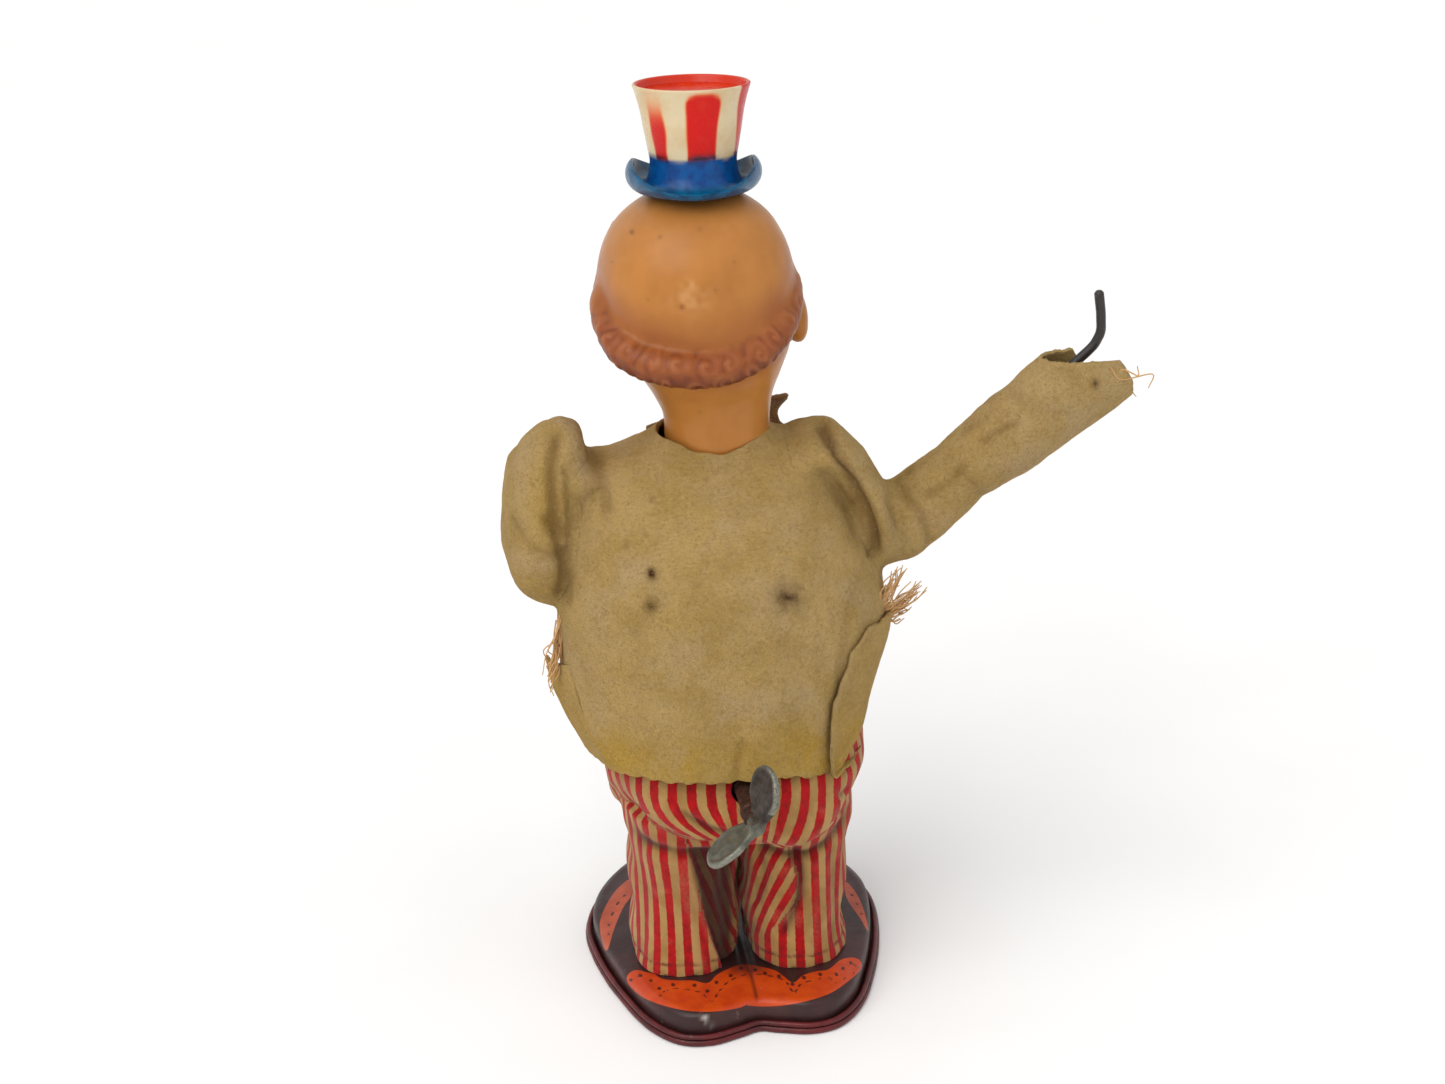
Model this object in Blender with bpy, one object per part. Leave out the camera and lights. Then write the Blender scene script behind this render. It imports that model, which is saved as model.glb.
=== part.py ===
"""Wind-up clown figure: tin base and tin body, clockwork motor, cloth clothes, vinyl head and hat.

Units: the dimensions below are millimetres and every mesh is written in metres. The figure stands on
the XY plane and faces -Y, so its left hand is at +X. The origin is the centre of the base's underside.
The clockwork has four arbors along Y. The winding arbor carries the key, ratchet and great wheel; the
second arbor drives the crank arbor; the crank arbor drives the fly. The crank's rod rocks the right
arm, a cross link rocks the left arm with it, and a pin on the cross link turns the head.
"""

import math

import bmesh
import bpy
from mathutils import Matrix, Vector

# ---------------------------------------------------------------- driving dimensions, mm
SCALE = 0.001
GAP = 0.3  # clearance between pieces that touch

BASE_RIM_TOP = 3.4
BASE_TOP = 9.6
LEG_X, LEG_Y = 14.5, 5.0

BODY_CY = 2.0  # centre of the tin body, front to back
BODY_WALL = 0.8
BODY_RINGS = (  # z, half width, half depth
    (52.0, 24.0, 19.5),
    (56.0, 26.0, 21.5),
    (72.0, 27.0, 22.0),
    (110.0, 27.5, 22.0),
    (128.0, 27.0, 21.5),
    (141.0, 26.0, 19.5),
    (146.0, 22.5, 16.5),
    (149.8, 13.0, 11.5),
)

PLATE_FRONT = (-3.6, -2.8)  # motor plates, span in y
PLATE_BACK = (17.2, 18.0)
WINDING = (0.0, 70.0)  # arbor centres, x and z
GREAT_TEETH, GREAT_MODULE = 42, 0.65
SECOND_TEETH, SECOND_MODULE = 36, 0.55
THIRD_TEETH, THIRD_MODULE = 36, 0.5
PINION_TEETH = 12
PRESSURE = math.radians(25)

ROCKER_X, ROCKER_Z = 18.0, 126.0
ROCKER_Y = (-5.8, -4.8)
REST_SWING = math.radians(7)  # how far the rockers lean at rest
HORN = 15.4
LEVER = 11.0
LINK_Y = (-7.4, -6.6)
HEAD_PIN_Y = -7.0
CRANK_RADIUS = 2.1
REST_TURN = math.atan2(HORN * math.sin(REST_SWING), -HEAD_PIN_Y)  # the head's turn at rest

WIRE_R = 1.3
KEY_ROLL = math.radians(36)  # how far the key's bow leans from upright
KEY_Y = 54.0


# ---------------------------------------------------------------- scene and helpers
for old in list(bpy.data.objects):
    bpy.data.objects.remove(old, do_unlink=True)

WORLD = {}


def material(name, colour, roughness, metallic=0.0):
    found = bpy.data.materials.get(name)
    if found:
        return found
    made = bpy.data.materials.new(name)
    made.use_nodes = True
    shader = made.node_tree.nodes["Principled BSDF"]
    shader.inputs["Base Color"].default_value = (*colour, 1.0)
    shader.inputs["Roughness"].default_value = roughness
    shader.inputs["Metallic"].default_value = metallic
    made.diffuse_color = (*colour, 1.0)
    return made


FELT = material("mustard_felt", (0.48, 0.33, 0.12), 0.95)
STRIPE = material("striped_cotton", (0.45, 0.03, 0.03), 0.9)
TIE = material("brown_felt", (0.13, 0.07, 0.035), 0.95)
VINYL = material("tan_vinyl", (0.6, 0.27, 0.08), 0.35)
HAT = material("painted_vinyl", (0.75, 0.6, 0.45), 0.3)
LITHO = material("brown_litho_tin", (0.09, 0.035, 0.025), 0.35)
RIM = material("maroon_rim_tin", (0.12, 0.02, 0.02), 0.35)
TIN = material("bare_tin", (0.5, 0.5, 0.48), 0.4, 1.0)
STEEL = material("steel", (0.42, 0.41, 0.4), 0.35, 1.0)
BRASS = material("brass", (0.6, 0.42, 0.16), 0.35, 1.0)
SPRING = material("blued_spring", (0.08, 0.09, 0.13), 0.3, 1.0)
WIRE = material("black_wire", (0.02, 0.02, 0.02), 0.45)
KEYMETAL = material("dull_key", (0.25, 0.26, 0.25), 0.5, 1.0)
RUST = material("rusty_steel", (0.11, 0.05, 0.03), 0.75, 0.5)
WOOD = material("turned_wood", (0.5, 0.34, 0.18), 0.7)


def joint_empty(name, place, parent=None):
    """An empty on a joint's axis. What is parented to it turns with it."""
    empty = bpy.data.objects.new(name, None)
    empty.empty_display_size = 0.008
    bpy.context.scene.collection.objects.link(empty)
    WORLD[name] = Vector(place)
    if parent:
        empty.parent = parent
        empty.location = (Vector(place) - WORLD[parent.name]) * SCALE
    else:
        empty.location = Vector(place) * SCALE
    return empty


def place(obj, origin, parent):
    base = WORLD[parent.name] if parent else Vector((0, 0, 0))
    obj.location = (Vector(origin) - base) * SCALE
    if parent:
        obj.parent = parent
    bpy.context.scene.collection.objects.link(obj)


def add(name, bm, mat, parent=None, smooth=35):
    """The bmesh, drawn in world millimetres, as a named object whose origin is its parent's place."""
    origin = WORLD[parent.name] if parent else Vector((0, 0, 0))
    for vert in bm.verts:
        vert.co = (vert.co - origin) * SCALE
    bmesh.ops.recalc_face_normals(bm, faces=bm.faces)
    mesh = bpy.data.meshes.new(name)
    bm.to_mesh(mesh)
    bm.free()
    mesh.materials.append(mat)
    if smooth:
        mesh.shade_smooth()
        mesh.set_sharp_from_angle(angle=math.radians(smooth))
    obj = bpy.data.objects.new(name, mesh)
    place(obj, origin, parent)
    return obj


def boolean(obj, other, operation="DIFFERENCE"):
    step = obj.modifiers.new(operation.title(), "BOOLEAN")
    step.operation = operation
    step.solver = "EXACT"
    step.object = other
    other.hide_render = True
    other.display_type = "WIRE"
    return obj


def loft(rings, close=False):
    """A skin over rings of points. A ring of one point is a pole. Without close, the ends are capped."""
    bm = bmesh.new()
    made = [[bm.verts.new(p) for p in ring] for ring in rings]
    pairs = list(zip(made, made[1:])) + ([(made[-1], made[0])] if close else [])
    for a, b in pairs:
        n = max(len(a), len(b))
        for i in range(n):
            j = (i + 1) % n
            if len(a) == 1:
                bm.faces.new((a[0], b[j], b[i]))
            elif len(b) == 1:
                bm.faces.new((a[i], a[j], b[0]))
            else:
                bm.faces.new((a[i], a[j], b[j], b[i]))
    if not close:
        for ring in (made[0], made[-1]):
            if len(ring) > 2:
                bm.faces.new(ring)
    return bm


def oval(z, half_x, front, rear, n=24, power=2.0, cx=0.0):
    """A level superellipse. front and rear are the y it reaches."""
    centre, depth = (front + rear) / 2, (rear - front) / 2
    points = []
    for i in range(n):
        a = 2 * math.pi * i / n
        c, s = math.cos(a), math.sin(a)
        points.append(
            (
                cx + half_x * math.copysign(abs(c) ** (2 / power), c),
                centre + depth * math.copysign(abs(s) ** (2 / power), s),
                z,
            )
        )
    return points


def circle_y(x, z, r, y, n):
    return [
        (x + r * math.cos(2 * math.pi * i / n), y, z + r * math.sin(2 * math.pi * i / n))
        for i in range(n)
    ]


def circle_z(x, y, r, z, n):
    return [
        (x + r * math.cos(2 * math.pi * i / n), y + r * math.sin(2 * math.pi * i / n), z)
        for i in range(n)
    ]


def turned_y(x, z, profile, n=16):
    """A piece turned about a line along Y. profile is (y, radius) from end to end."""
    return loft([circle_y(x, z, r, y, n) for y, r in profile])


def turned_z(x, y, profile, n=16):
    return loft([circle_z(x, y, r, z, n) for z, r in profile])


def prism_y(outline, y0, y1):
    """A flat plate: the outline in x and z, extruded along Y."""
    bm = bmesh.new()
    face = bm.faces.new([bm.verts.new((x, y0, z)) for x, z in outline])
    out = bmesh.ops.extrude_face_region(bm, geom=[face])
    moved = [v for v in out["geom"] if isinstance(v, bmesh.types.BMVert)]
    bmesh.ops.translate(bm, vec=(0, y1 - y0, 0), verts=moved)
    return bm


def prism_z(outline, z0, z1):
    bm = bmesh.new()
    face = bm.faces.new([bm.verts.new((x, y, z0)) for x, y in outline])
    out = bmesh.ops.extrude_face_region(bm, geom=[face])
    moved = [v for v in out["geom"] if isinstance(v, bmesh.types.BMVert)]
    bmesh.ops.translate(bm, vec=(0, 0, z1 - z0), verts=moved)
    return bm


def box(low, high):
    return prism_z(
        [(low[0], low[1]), (high[0], low[1]), (high[0], high[1]), (low[0], high[1])],
        low[2],
        high[2],
    )


def hole_y(obj, x, z, r, y0, y1, n=16):
    return boolean(
        obj,
        add(f"cut_{obj.name}_{len(obj.modifiers)}", turned_y(x, z, [(y0, r), (y1, r)], n), TIN),
    )


def hole_x(obj, y, z, r, x0, x1, n=16, stretch=1.0):
    rings = [
        [
            (x, y + r * math.cos(2 * math.pi * i / n), z + stretch * r * math.sin(2 * math.pi * i / n))
            for i in range(n)
        ]
        for x in (x0, x1)
    ]
    return boolean(obj, add(f"cut_{obj.name}_{len(obj.modifiers)}", loft(rings), TIN))


def hole_z(obj, x, y, r, z0, z1, n=16):
    return boolean(
        obj,
        add(f"cut_{obj.name}_{len(obj.modifiers)}", turned_z(x, y, [(z0, r), (z1, r)], n), TIN),
    )


def smooth_path(points, per_span):
    """A Catmull-Rom curve through the points."""
    ends = [2 * Vector(points[0]) - Vector(points[1])]
    ends += [Vector(p) for p in points]
    ends += [2 * Vector(points[-1]) - Vector(points[-2])]
    out = []
    for a, b, c, d in zip(ends, ends[1:], ends[2:], ends[3:]):
        for k in range(per_span):
            t = k / per_span
            out.append(
                0.5
                * (
                    2 * b
                    + (c - a) * t
                    + (2 * a - 5 * b + 4 * c - d) * t**2
                    + (3 * b - a - 3 * c + d) * t**3
                )
            )
    out.append(Vector(points[-1]))
    return out


def wire(name, points, r, mat, parent):
    """A bent wire: a curve with a round bevel and filled ends."""
    curve = bpy.data.curves.new(name, "CURVE")
    curve.dimensions = "3D"
    curve.bevel_depth = r * SCALE
    curve.bevel_resolution = 1
    curve.use_fill_caps = True
    origin = WORLD[parent.name] if parent else Vector((0, 0, 0))
    spline = curve.splines.new("POLY")
    spline.points.add(len(points) - 1)
    for point, at in zip(spline.points, points):
        point.co = (*((Vector(at) - origin) * SCALE), 1)
    curve.materials.append(mat)
    obj = bpy.data.objects.new(name, curve)
    place(obj, origin, parent)
    return obj


def section_rings(path, sizes, n, up=(0, 1, 0)):
    """Oval rings square to a path. sizes is (radius across, radius along up) at each path point."""
    rings = []
    for i, p in enumerate(path):
        p = Vector(p)
        before, after = Vector(path[max(i - 1, 0)]), Vector(path[min(i + 1, len(path) - 1)])
        along = (after - before).normalized()
        side = along.cross(Vector(up)).normalized()
        top = side.cross(along).normalized()
        a, b = sizes[i]
        rings.append(
            [
                p + side * a * math.cos(2 * math.pi * k / n) + top * b * math.sin(2 * math.pi * k / n)
                for k in range(n)
            ]
        )
    return rings


# ---------------------------------------------------------------- gears
def gear_outline(x, z, teeth, module, tooth_at, thin=0.13, add_f=0.85, ded_f=1.1, flank=2):
    """An involute wheel in the XZ plane, with one tooth's centre at the angle tooth_at."""
    pitch = teeth * module / 2
    base = pitch * math.cos(PRESSURE)
    tip, root = pitch + add_f * module, pitch - ded_f * module
    half = math.pi / (2 * teeth) - thin / (2 * pitch)

    def involute(r):
        a = math.acos(min(1.0, base / r))
        return math.tan(a) - a

    at_pitch = math.tan(PRESSURE) - PRESSURE
    start = max(base, root)
    radii = [start + (tip - start) * k / (flank - 1) for k in range(flank)]
    angles = [half + at_pitch - involute(r) for r in radii]
    if root < base:
        radii.insert(0, root)
        angles.insert(0, angles[0])
    outline = []
    for k in range(teeth):
        mid = tooth_at + 2 * math.pi * k / teeth
        for r, a in zip(radii, angles):
            outline.append((x + r * math.cos(mid - a), z + r * math.sin(mid - a)))
        for r, a in reversed(list(zip(radii, angles))):
            outline.append((x + r * math.cos(mid + a), z + r * math.sin(mid + a)))
    return outline


def meeting(a, b):
    """The angle from one arbor's centre towards another's."""
    return math.atan2(b[1] - a[1], b[0] - a[0])


reach_1 = (GREAT_TEETH + PINION_TEETH) * GREAT_MODULE / 2
SECOND = (9.0, WINDING[1] + math.sqrt(reach_1**2 - 9.0**2))
reach_2 = (SECOND_TEETH + PINION_TEETH) * SECOND_MODULE / 2
CRANK = (0.0, SECOND[1] + math.sqrt(reach_2**2 - 9.0**2))
reach_3 = (THIRD_TEETH + PINION_TEETH) * THIRD_MODULE / 2
FLY = (-7.0, CRANK[1] + math.sqrt(reach_3**2 - 7.0**2))

# ---------------------------------------------------------------- joint axes
great_axis = joint_empty("axis_great_wheel", (WINDING[0], 0, WINDING[1]))
key_axis = joint_empty("axis_key", (WINDING[0], 0, WINDING[1]), great_axis)
second_axis = joint_empty("axis_second", (SECOND[0], 0, SECOND[1]))
crank_axis = joint_empty("axis_crank", (CRANK[0], 0, CRANK[1]))
fly_axis = joint_empty("axis_fly", (FLY[0], 0, FLY[1]))
right_axis = joint_empty("axis_right_arm", (-ROCKER_X, 0, ROCKER_Z))
left_axis = joint_empty("axis_left_arm", (ROCKER_X, 0, ROCKER_Z))
head_axis = joint_empty("axis_head", (0, 0, 150))


def swung(x, z, angle=REST_SWING):
    """A point relative to a rocker's pivot, turned about +Y."""
    return (x * math.cos(angle) + z * math.sin(angle), -x * math.sin(angle) + z * math.cos(angle))


right_horn = tuple(a + b for a, b in zip((-ROCKER_X, ROCKER_Z), swung(0, HORN)))
left_horn = tuple(a + b for a, b in zip((ROCKER_X, ROCKER_Z), swung(0, HORN)))
lever_end = tuple(a + b for a, b in zip((-ROCKER_X, ROCKER_Z), swung(LEVER, 0)))
rod_axis = joint_empty("axis_rod", (lever_end[0], 0, lever_end[1]), right_axis)
link_axis = joint_empty("axis_cross_link", (right_horn[0], 0, right_horn[1]), right_axis)

# ---------------------------------------------------------------- base: two joined shoes in pressed tin
SHOE_HALF = (  # x, y from the heel notch round the left shoe to the toe notch
    (0.0, 43.6),
    (5.0, 45.2),
    (14.0, 47.6),
    (22.5, 45.4),
    (30.0, 36.5),
    (35.5, 23.0),
    (39.8, 8.0),
    (42.3, -6.0),
    (42.8, -16.0),
    (41.2, -25.0),
    (37.5, -34.0),
    (31.5, -43.0),
    (24.0, -50.5),
    (14.0, -55.5),
    (5.0, -54.5),
    (0.0, -50.5),
)


def shoe_outline(steps=1):
    loop = [Vector((x, y)) for x, y in SHOE_HALF]
    loop += [Vector((-x, y)) for x, y in reversed(SHOE_HALF[1:-1])]
    out, n = [], len(loop)
    for i in range(n):
        a, b, c, d = (loop[(i + k - 1) % n] for k in range(4))
        for k in range(steps):
            t = k / steps
            out.append(
                0.5 * (2 * b + (c - a) * t + (2 * a - 5 * b + 4 * c - d) * t**2 + (3 * b - a - 3 * c + d) * t**3)
            )
    return out


SHOE = shoe_outline()


def shoe_ring(inset, z, shrink=1.0):
    """The outline moved in by inset, then scaled towards the middle of the base."""
    ring, n = [], len(SHOE)
    for i, p in enumerate(SHOE):
        along = (SHOE[(i + 1) % n] - SHOE[i - 1]).normalized()
        inward = Vector((along.y, -along.x))
        if inward.dot(Vector((0, -6)) - p) < 0:
            inward = -inward
        q = p + inward * inset
        q = Vector((0, -6)) + (q - Vector((0, -6))) * shrink
        ring.append((q.x, q.y, z))
    return ring


add(
    "base_bottom_plate",
    loft(
        [
            shoe_ring(0.7, 0.0),
            shoe_ring(0.0, 0.8),
            shoe_ring(0.0, 2.6),
            shoe_ring(0.5, BASE_RIM_TOP),
            shoe_ring(1.3, BASE_RIM_TOP),
            shoe_ring(1.8, 2.8),
            shoe_ring(1.8, 1.0),
        ]
    ),
    RIM,
)
add(
    "base_shell",
    loft(
        [
            shoe_ring(3.0, BASE_TOP - 0.8, 0.72),
            shoe_ring(3.0, 8.0, 0.88),
            shoe_ring(3.2, 6.0, 0.97),
            shoe_ring(2.9, 4.2),
            shoe_ring(2.9, 1.4),
            shoe_ring(2.1, 1.4),
            shoe_ring(2.1, 4.6),
            shoe_ring(2.4, 6.7, 0.98),
            shoe_ring(2.4, 8.8, 0.9),
            shoe_ring(2.4, BASE_TOP, 0.74),
        ]
    ),
    LITHO,
)

# ---------------------------------------------------------------- legs
for side, x in (("left", LEG_X), ("right", -LEG_X)):
    add(
        f"leg_{side}",
        loft(
            [
                circle_z(x, LEG_Y, 8.4, 50.4, 14),
                circle_z(x, LEG_Y, 7.4, BASE_TOP + GAP, 14),
                circle_z(x, LEG_Y, 8.2, BASE_TOP + GAP, 14),
                circle_z(x, LEG_Y, 9.2, 51.4, 14),
            ]
        ),
        TIN,
    )


# ---------------------------------------------------------------- tin body in two halves
def body_loft(grow, low=0.0, high=0.0, n=20):
    rings = []
    for i, (z, hx, hy) in enumerate(BODY_RINGS):
        z += low if i == 0 else high if i == len(BODY_RINGS) - 1 else 0.0
        rings.append(oval(z, hx + grow, BODY_CY - hy - grow, BODY_CY + hy + grow, n, 2.6))
    return loft(rings)


for half in ("front", "back"):
    shell = add(f"body_{half}_shell", body_loft(0.0), TIN)
    boolean(shell, add(f"cut_body_{half}_inside", body_loft(-BODY_WALL, BODY_WALL, -BODY_WALL), TIN))
    if half == "front":
        away = box((-60, BODY_CY - 0.15, 20), (60, 60, 180))
    else:
        away = box((-60, -60, 20), (60, BODY_CY + 0.15, 180))
    boolean(shell, add(f"cut_body_{half}_away", away, TIN))
    hole_z(shell, 0, 0, 8.5, 140, 160, 20)
    if half == "back":
        hole_y(shell, *WINDING, 3.0, 10, 40)
    else:
        hole_x(shell, -7.4, ROCKER_Z + 5.5, 5.2, -60, 60, 16, 2.5)

# ---------------------------------------------------------------- motor frame
front = add(
    "motor_front_plate",
    prism_y(
        [(-17, 56), (17, 56), (17, 112), (22.5, 118), (22.5, 131), (18, 134), (-18, 134), (-22.5, 131), (-22.5, 118), (-17, 112)],
        *PLATE_FRONT,
    ),
    TIN,
    smooth=0,
)
back = add(
    "motor_back_plate",
    prism_y([(-17, 56), (17, 56), (17, 114), (-17, 114)], *PLATE_BACK),
    TIN,
    smooth=0,
)
PILLARS = ((-14.5, 59.5), (14.5, 59.5), (-14.5, 110.0), (14.5, 110.0))
for x, z in PILLARS:
    hole_y(front, x, z, 1.1, -8, 0, 8)
    hole_y(back, x, z, 1.1, 10, 24, 8)
for (x, z), r in ((WINDING, 1.8), (SECOND, 1.3), (CRANK, 1.3), (FLY, 1.1)):
    hole_y(front, x, z, r, -8, 0, 10)
    hole_y(back, x, z, r, 10, 24, 10)
for x in (-ROCKER_X, ROCKER_X):
    hole_y(front, x, ROCKER_Z, 1.3, -8, 0, 12)

for i, (x, z) in enumerate(PILLARS):
    add(
        f"frame_pillar_{i + 1}",
        turned_y(x, z, [(-4.1, 0.7), (-2.5, 0.7), (-2.5, 1.6), (16.9, 1.6), (16.9, 0.7), (18.5, 0.7)], 8),
        STEEL,
    )
bearing = add(
    "neck_bearing_bracket",
    prism_z([(-5, PLATE_FRONT[1] + GAP), (5, PLATE_FRONT[1] + GAP), (5, 3.0), (3, 4.6), (-3, 4.6), (-5, 3.0)], 131.3, 132.3),
    TIN,
    smooth=0,
)
hole_z(bearing, 0, 0, 1.8, 128, 136, 12)

# ---------------------------------------------------------------- winding arbor, key, ratchet
add(
    "winding_arbor",
    turned_y(*WINDING, [(-4.2, 1.4), (-1.9, 1.4), (-1.9, 2.0), (4.4, 2.0), (4.4, 1.5), (36.0, 1.5)], 14),
    STEEL,
    key_axis,
)
shank = add(
    "key_shank",
    loft(
        [
            circle_y(*WINDING, 1.8, 36.6, 14),
            circle_y(*WINDING, 1.8, 27.5, 14),
            circle_y(*WINDING, 2.6, 27.5, 14),
            circle_y(*WINDING, 2.6, 51.5, 14),
            circle_y(*WINDING, 1.9, 52.6, 14),
        ]
    ),
    RUST,
    key_axis,
)
LEAN = Vector((-math.sin(KEY_ROLL), 0, math.cos(KEY_ROLL)))  # along the bow, towards the upper lobe
NORMAL = Vector((math.cos(KEY_ROLL), 0, math.sin(KEY_ROLL)))


def bow_outline(grow=0.0):
    """The bow's two lobes and waist, as (distance along the bow, y)."""
    reach = 16.4 + grow
    top = []
    for k in range(21):
        s = -reach * math.cos(math.pi * k / 20)
        lobe = max(0.0, 1 - ((abs(s) - 9.4) / (7.0 + grow)) ** 2)
        w = max((6.6 + grow) * math.sqrt(lobe), 3.3 if abs(s) < 5 else 0.0)
        top.append((s, w))
    return [(s, KEY_Y + w) for s, w in top] + [(s, KEY_Y - w) for s, w in reversed(top[1:-1])]


def bow_prism(thick, outline):
    bm = bmesh.new()
    centre = Vector((WINDING[0], 0, WINDING[1]))
    rings = [
        [centre + LEAN * s + Vector((0, y, 0)) + NORMAL * t for s, y in outline]
        for t in (-thick / 2, thick / 2)
    ]
    bm.free()
    return loft(rings)


boolean(
    shank,
    add(
        "cut_key_slot",
        bow_prism(1.7, [(-6, KEY_Y - 3.8), (6, KEY_Y - 3.8), (6, KEY_Y + 8), (-6, KEY_Y + 8)]),
        TIN,
    ),
)
add("key_bow", bow_prism(1.0, bow_outline()), KEYMETAL, key_axis, smooth=0)

RATCHET_TEETH = 12


def ratchet_outline():
    out = []
    for k in range(RATCHET_TEETH):
        a = 2 * math.pi * k / RATCHET_TEETH
        out.append((WINDING[0] + 6.0 * math.cos(a), WINDING[1] + 6.0 * math.sin(a)))
        out.append((WINDING[0] + 4.7 * math.cos(a + 0.03), WINDING[1] + 4.7 * math.sin(a + 0.03)))
    return out


ratchet = add("ratchet_wheel", prism_y(ratchet_outline(), 5.0, 6.3), STEEL, key_axis, smooth=0)
hole_y(ratchet, *WINDING, 1.8, 3, 8, 14)

great = add(
    "great_wheel",
    prism_y(gear_outline(*WINDING, GREAT_TEETH, GREAT_MODULE, meeting(WINDING, SECOND)), 7.0, 8.2),
    BRASS,
    great_axis,
    smooth=0,
)
hole_y(great, *WINDING, 1.8, 5, 10, 14)
CLICK = (WINDING[0] - 9.0, WINDING[1] - 4.2)
hole_y(great, *CLICK, 1.0, 5, 10, 10)
add("click_rivet", turned_y(*CLICK, [(9.0, 1.4), (8.5, 1.4), (8.5, 0.7), (4.9, 0.7), (4.9, 1.3), (4.5, 1.3)], 10), STEEL, great_axis)

# The click lies beside the ratchet and drops behind a tooth. It lifts clear about its rivet.
click_axis = joint_empty("axis_click", (CLICK[0], 0, CLICK[1]), great_axis)
def about_winding(degrees, r):
    a = math.radians(degrees)
    return (WINDING[0] + r * math.cos(a), WINDING[1] + r * math.sin(a))


def click_outline():
    ax, az = CLICK
    out = [(ax + 1.7 * math.cos(a), az + 1.7 * math.sin(a)) for a in [math.radians(d) for d in range(150, 361, 30)]]
    return out + [about_winding(199, 6.1), about_winding(184.5, 5.5), about_winding(183.5, 6.8)]


click = add("click_pawl", prism_y(click_outline(), 5.2, 6.2), STEEL, click_axis, smooth=0)
hole_y(click, *CLICK, 1.0, 3, 8, 10)

# A light wire spring on the great wheel stands behind the click.
wire(
    "click_spring",
    [(WINDING[0] - 11.9, 6.65, WINDING[1] - 0.6), (WINDING[0] - 11.9, 5.7, WINDING[1] - 0.6), (WINDING[0] - 10.2, 5.7, WINDING[1] + 0.1), (WINDING[0] - 8.7, 5.7, WINDING[1] + 0.3)],
    0.25,
    SPRING,
    great_axis,
)

# The mainspring lies slack round the arbor, its outer end hooked round the lower left pillar.
SPRING_TURNS, SPRING_STEPS = 4.5, 14
spring_line = []
for k in range(int(SPRING_TURNS * SPRING_STEPS) + 1):
    t = k / (SPRING_TURNS * SPRING_STEPS)
    a = 2 * math.pi * SPRING_TURNS * t + math.radians(20)
    r = 3.1 + 9.4 * t
    spring_line.append((WINDING[0] + r * math.cos(a), WINDING[1] + r * math.sin(a), a))
ribbon = []
for x, z, a in spring_line:
    ribbon.append([(x + d * math.cos(a), y, z + d * math.sin(a)) for d, y in ((0, -1.6), (0.5, -1.6), (0.5, 4.0), (0, 4.0))])
add("mainspring", loft(ribbon), SPRING)

# ---------------------------------------------------------------- second arbor
add("second_arbor", turned_y(*SECOND, [(-4.0, 1.0), (18.4, 1.0)], 12), STEEL, second_axis)
piece = add(
    "second_pinion",
    prism_y(gear_outline(*SECOND, PINION_TEETH, GREAT_MODULE, meeting(SECOND, WINDING) + math.pi / PINION_TEETH), 6.2, 9.0),
    BRASS,
    second_axis,
    smooth=0,
)
hole_y(piece, *SECOND, 1.3, 4, 11, 12)
piece = add(
    "second_wheel",
    prism_y(gear_outline(*SECOND, SECOND_TEETH, SECOND_MODULE, meeting(SECOND, CRANK)), 12.0, 12.9),
    BRASS,
    second_axis,
    smooth=0,
)
hole_y(piece, *SECOND, 1.3, 10, 15, 12)

# ---------------------------------------------------------------- crank arbor
add("crank_arbor", turned_y(*CRANK, [(-5.1, 1.0), (18.4, 1.0)], 12), STEEL, crank_axis)
piece = add(
    "crank_pinion",
    prism_y(gear_outline(*CRANK, PINION_TEETH, SECOND_MODULE, meeting(CRANK, SECOND) + math.pi / PINION_TEETH), 11.3, 13.6),
    BRASS,
    crank_axis,
    smooth=0,
)
hole_y(piece, *CRANK, 1.3, 9, 16, 12)
piece = add(
    "third_wheel",
    prism_y(gear_outline(*CRANK, THIRD_TEETH, THIRD_MODULE, meeting(CRANK, FLY)), 1.0, 1.9),
    BRASS,
    crank_axis,
    smooth=0,
)
hole_y(piece, *CRANK, 1.3, -1, 4, 12)

# The rod's length puts mid stroke at the rockers' upright place, so the rest place fixes the crank.
rod_length = math.hypot(-ROCKER_X + LEVER - CRANK[0], ROCKER_Z - CRANK[1])
gap_x, gap_z = lever_end[0] - CRANK[0], lever_end[1] - CRANK[1]
far = math.hypot(gap_x, gap_z)
lean = math.acos((far**2 + CRANK_RADIUS**2 - rod_length**2) / (2 * far * CRANK_RADIUS))
crank_at = math.atan2(gap_z, gap_x) - lean
PIN = (CRANK[0] + CRANK_RADIUS * math.cos(crank_at), CRANK[1] + CRANK_RADIUS * math.sin(crank_at))
disc = add("crank_disc", turned_y(*CRANK, [(-5.1, 5.4), (-4.2, 5.4)], 16), STEEL, crank_axis)
boolean(disc, add("join_crank_pin", turned_y(*PIN, [(LINK_Y[1] + GAP, 0.65), (-4.6, 0.65)], 8), STEEL), "UNION")
hole_y(disc, *CRANK, 1.3, -5.35, -3, 12)

# ---------------------------------------------------------------- fly
add("fly_arbor", turned_y(*FLY, [(-4.0, 0.8), (18.4, 0.8)], 10), STEEL, fly_axis)
piece = add(
    "fly_pinion",
    prism_y(gear_outline(*FLY, PINION_TEETH, THIRD_MODULE, meeting(FLY, CRANK) + math.pi / PINION_TEETH), 0.3, 2.6),
    BRASS,
    fly_axis,
    smooth=0,
)
hole_y(piece, *FLY, 1.1, -2, 5, 10)
vane = add(
    "fly_vane",
    prism_y([(FLY[0] - 5.6, FLY[1] - 0.35), (FLY[0] + 5.6, FLY[1] - 0.35), (FLY[0] + 5.6, FLY[1] + 0.35), (FLY[0] - 5.6, FLY[1] + 0.35)], 5.0, 15.0),
    BRASS,
    fly_axis,
    smooth=0,
)
boolean(vane, add("join_vane_hub", turned_y(*FLY, [(5.2, 1.7), (14.8, 1.7)], 10), BRASS), "UNION")
hole_y(vane, *FLY, 1.1, 3, 17, 10)


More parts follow.
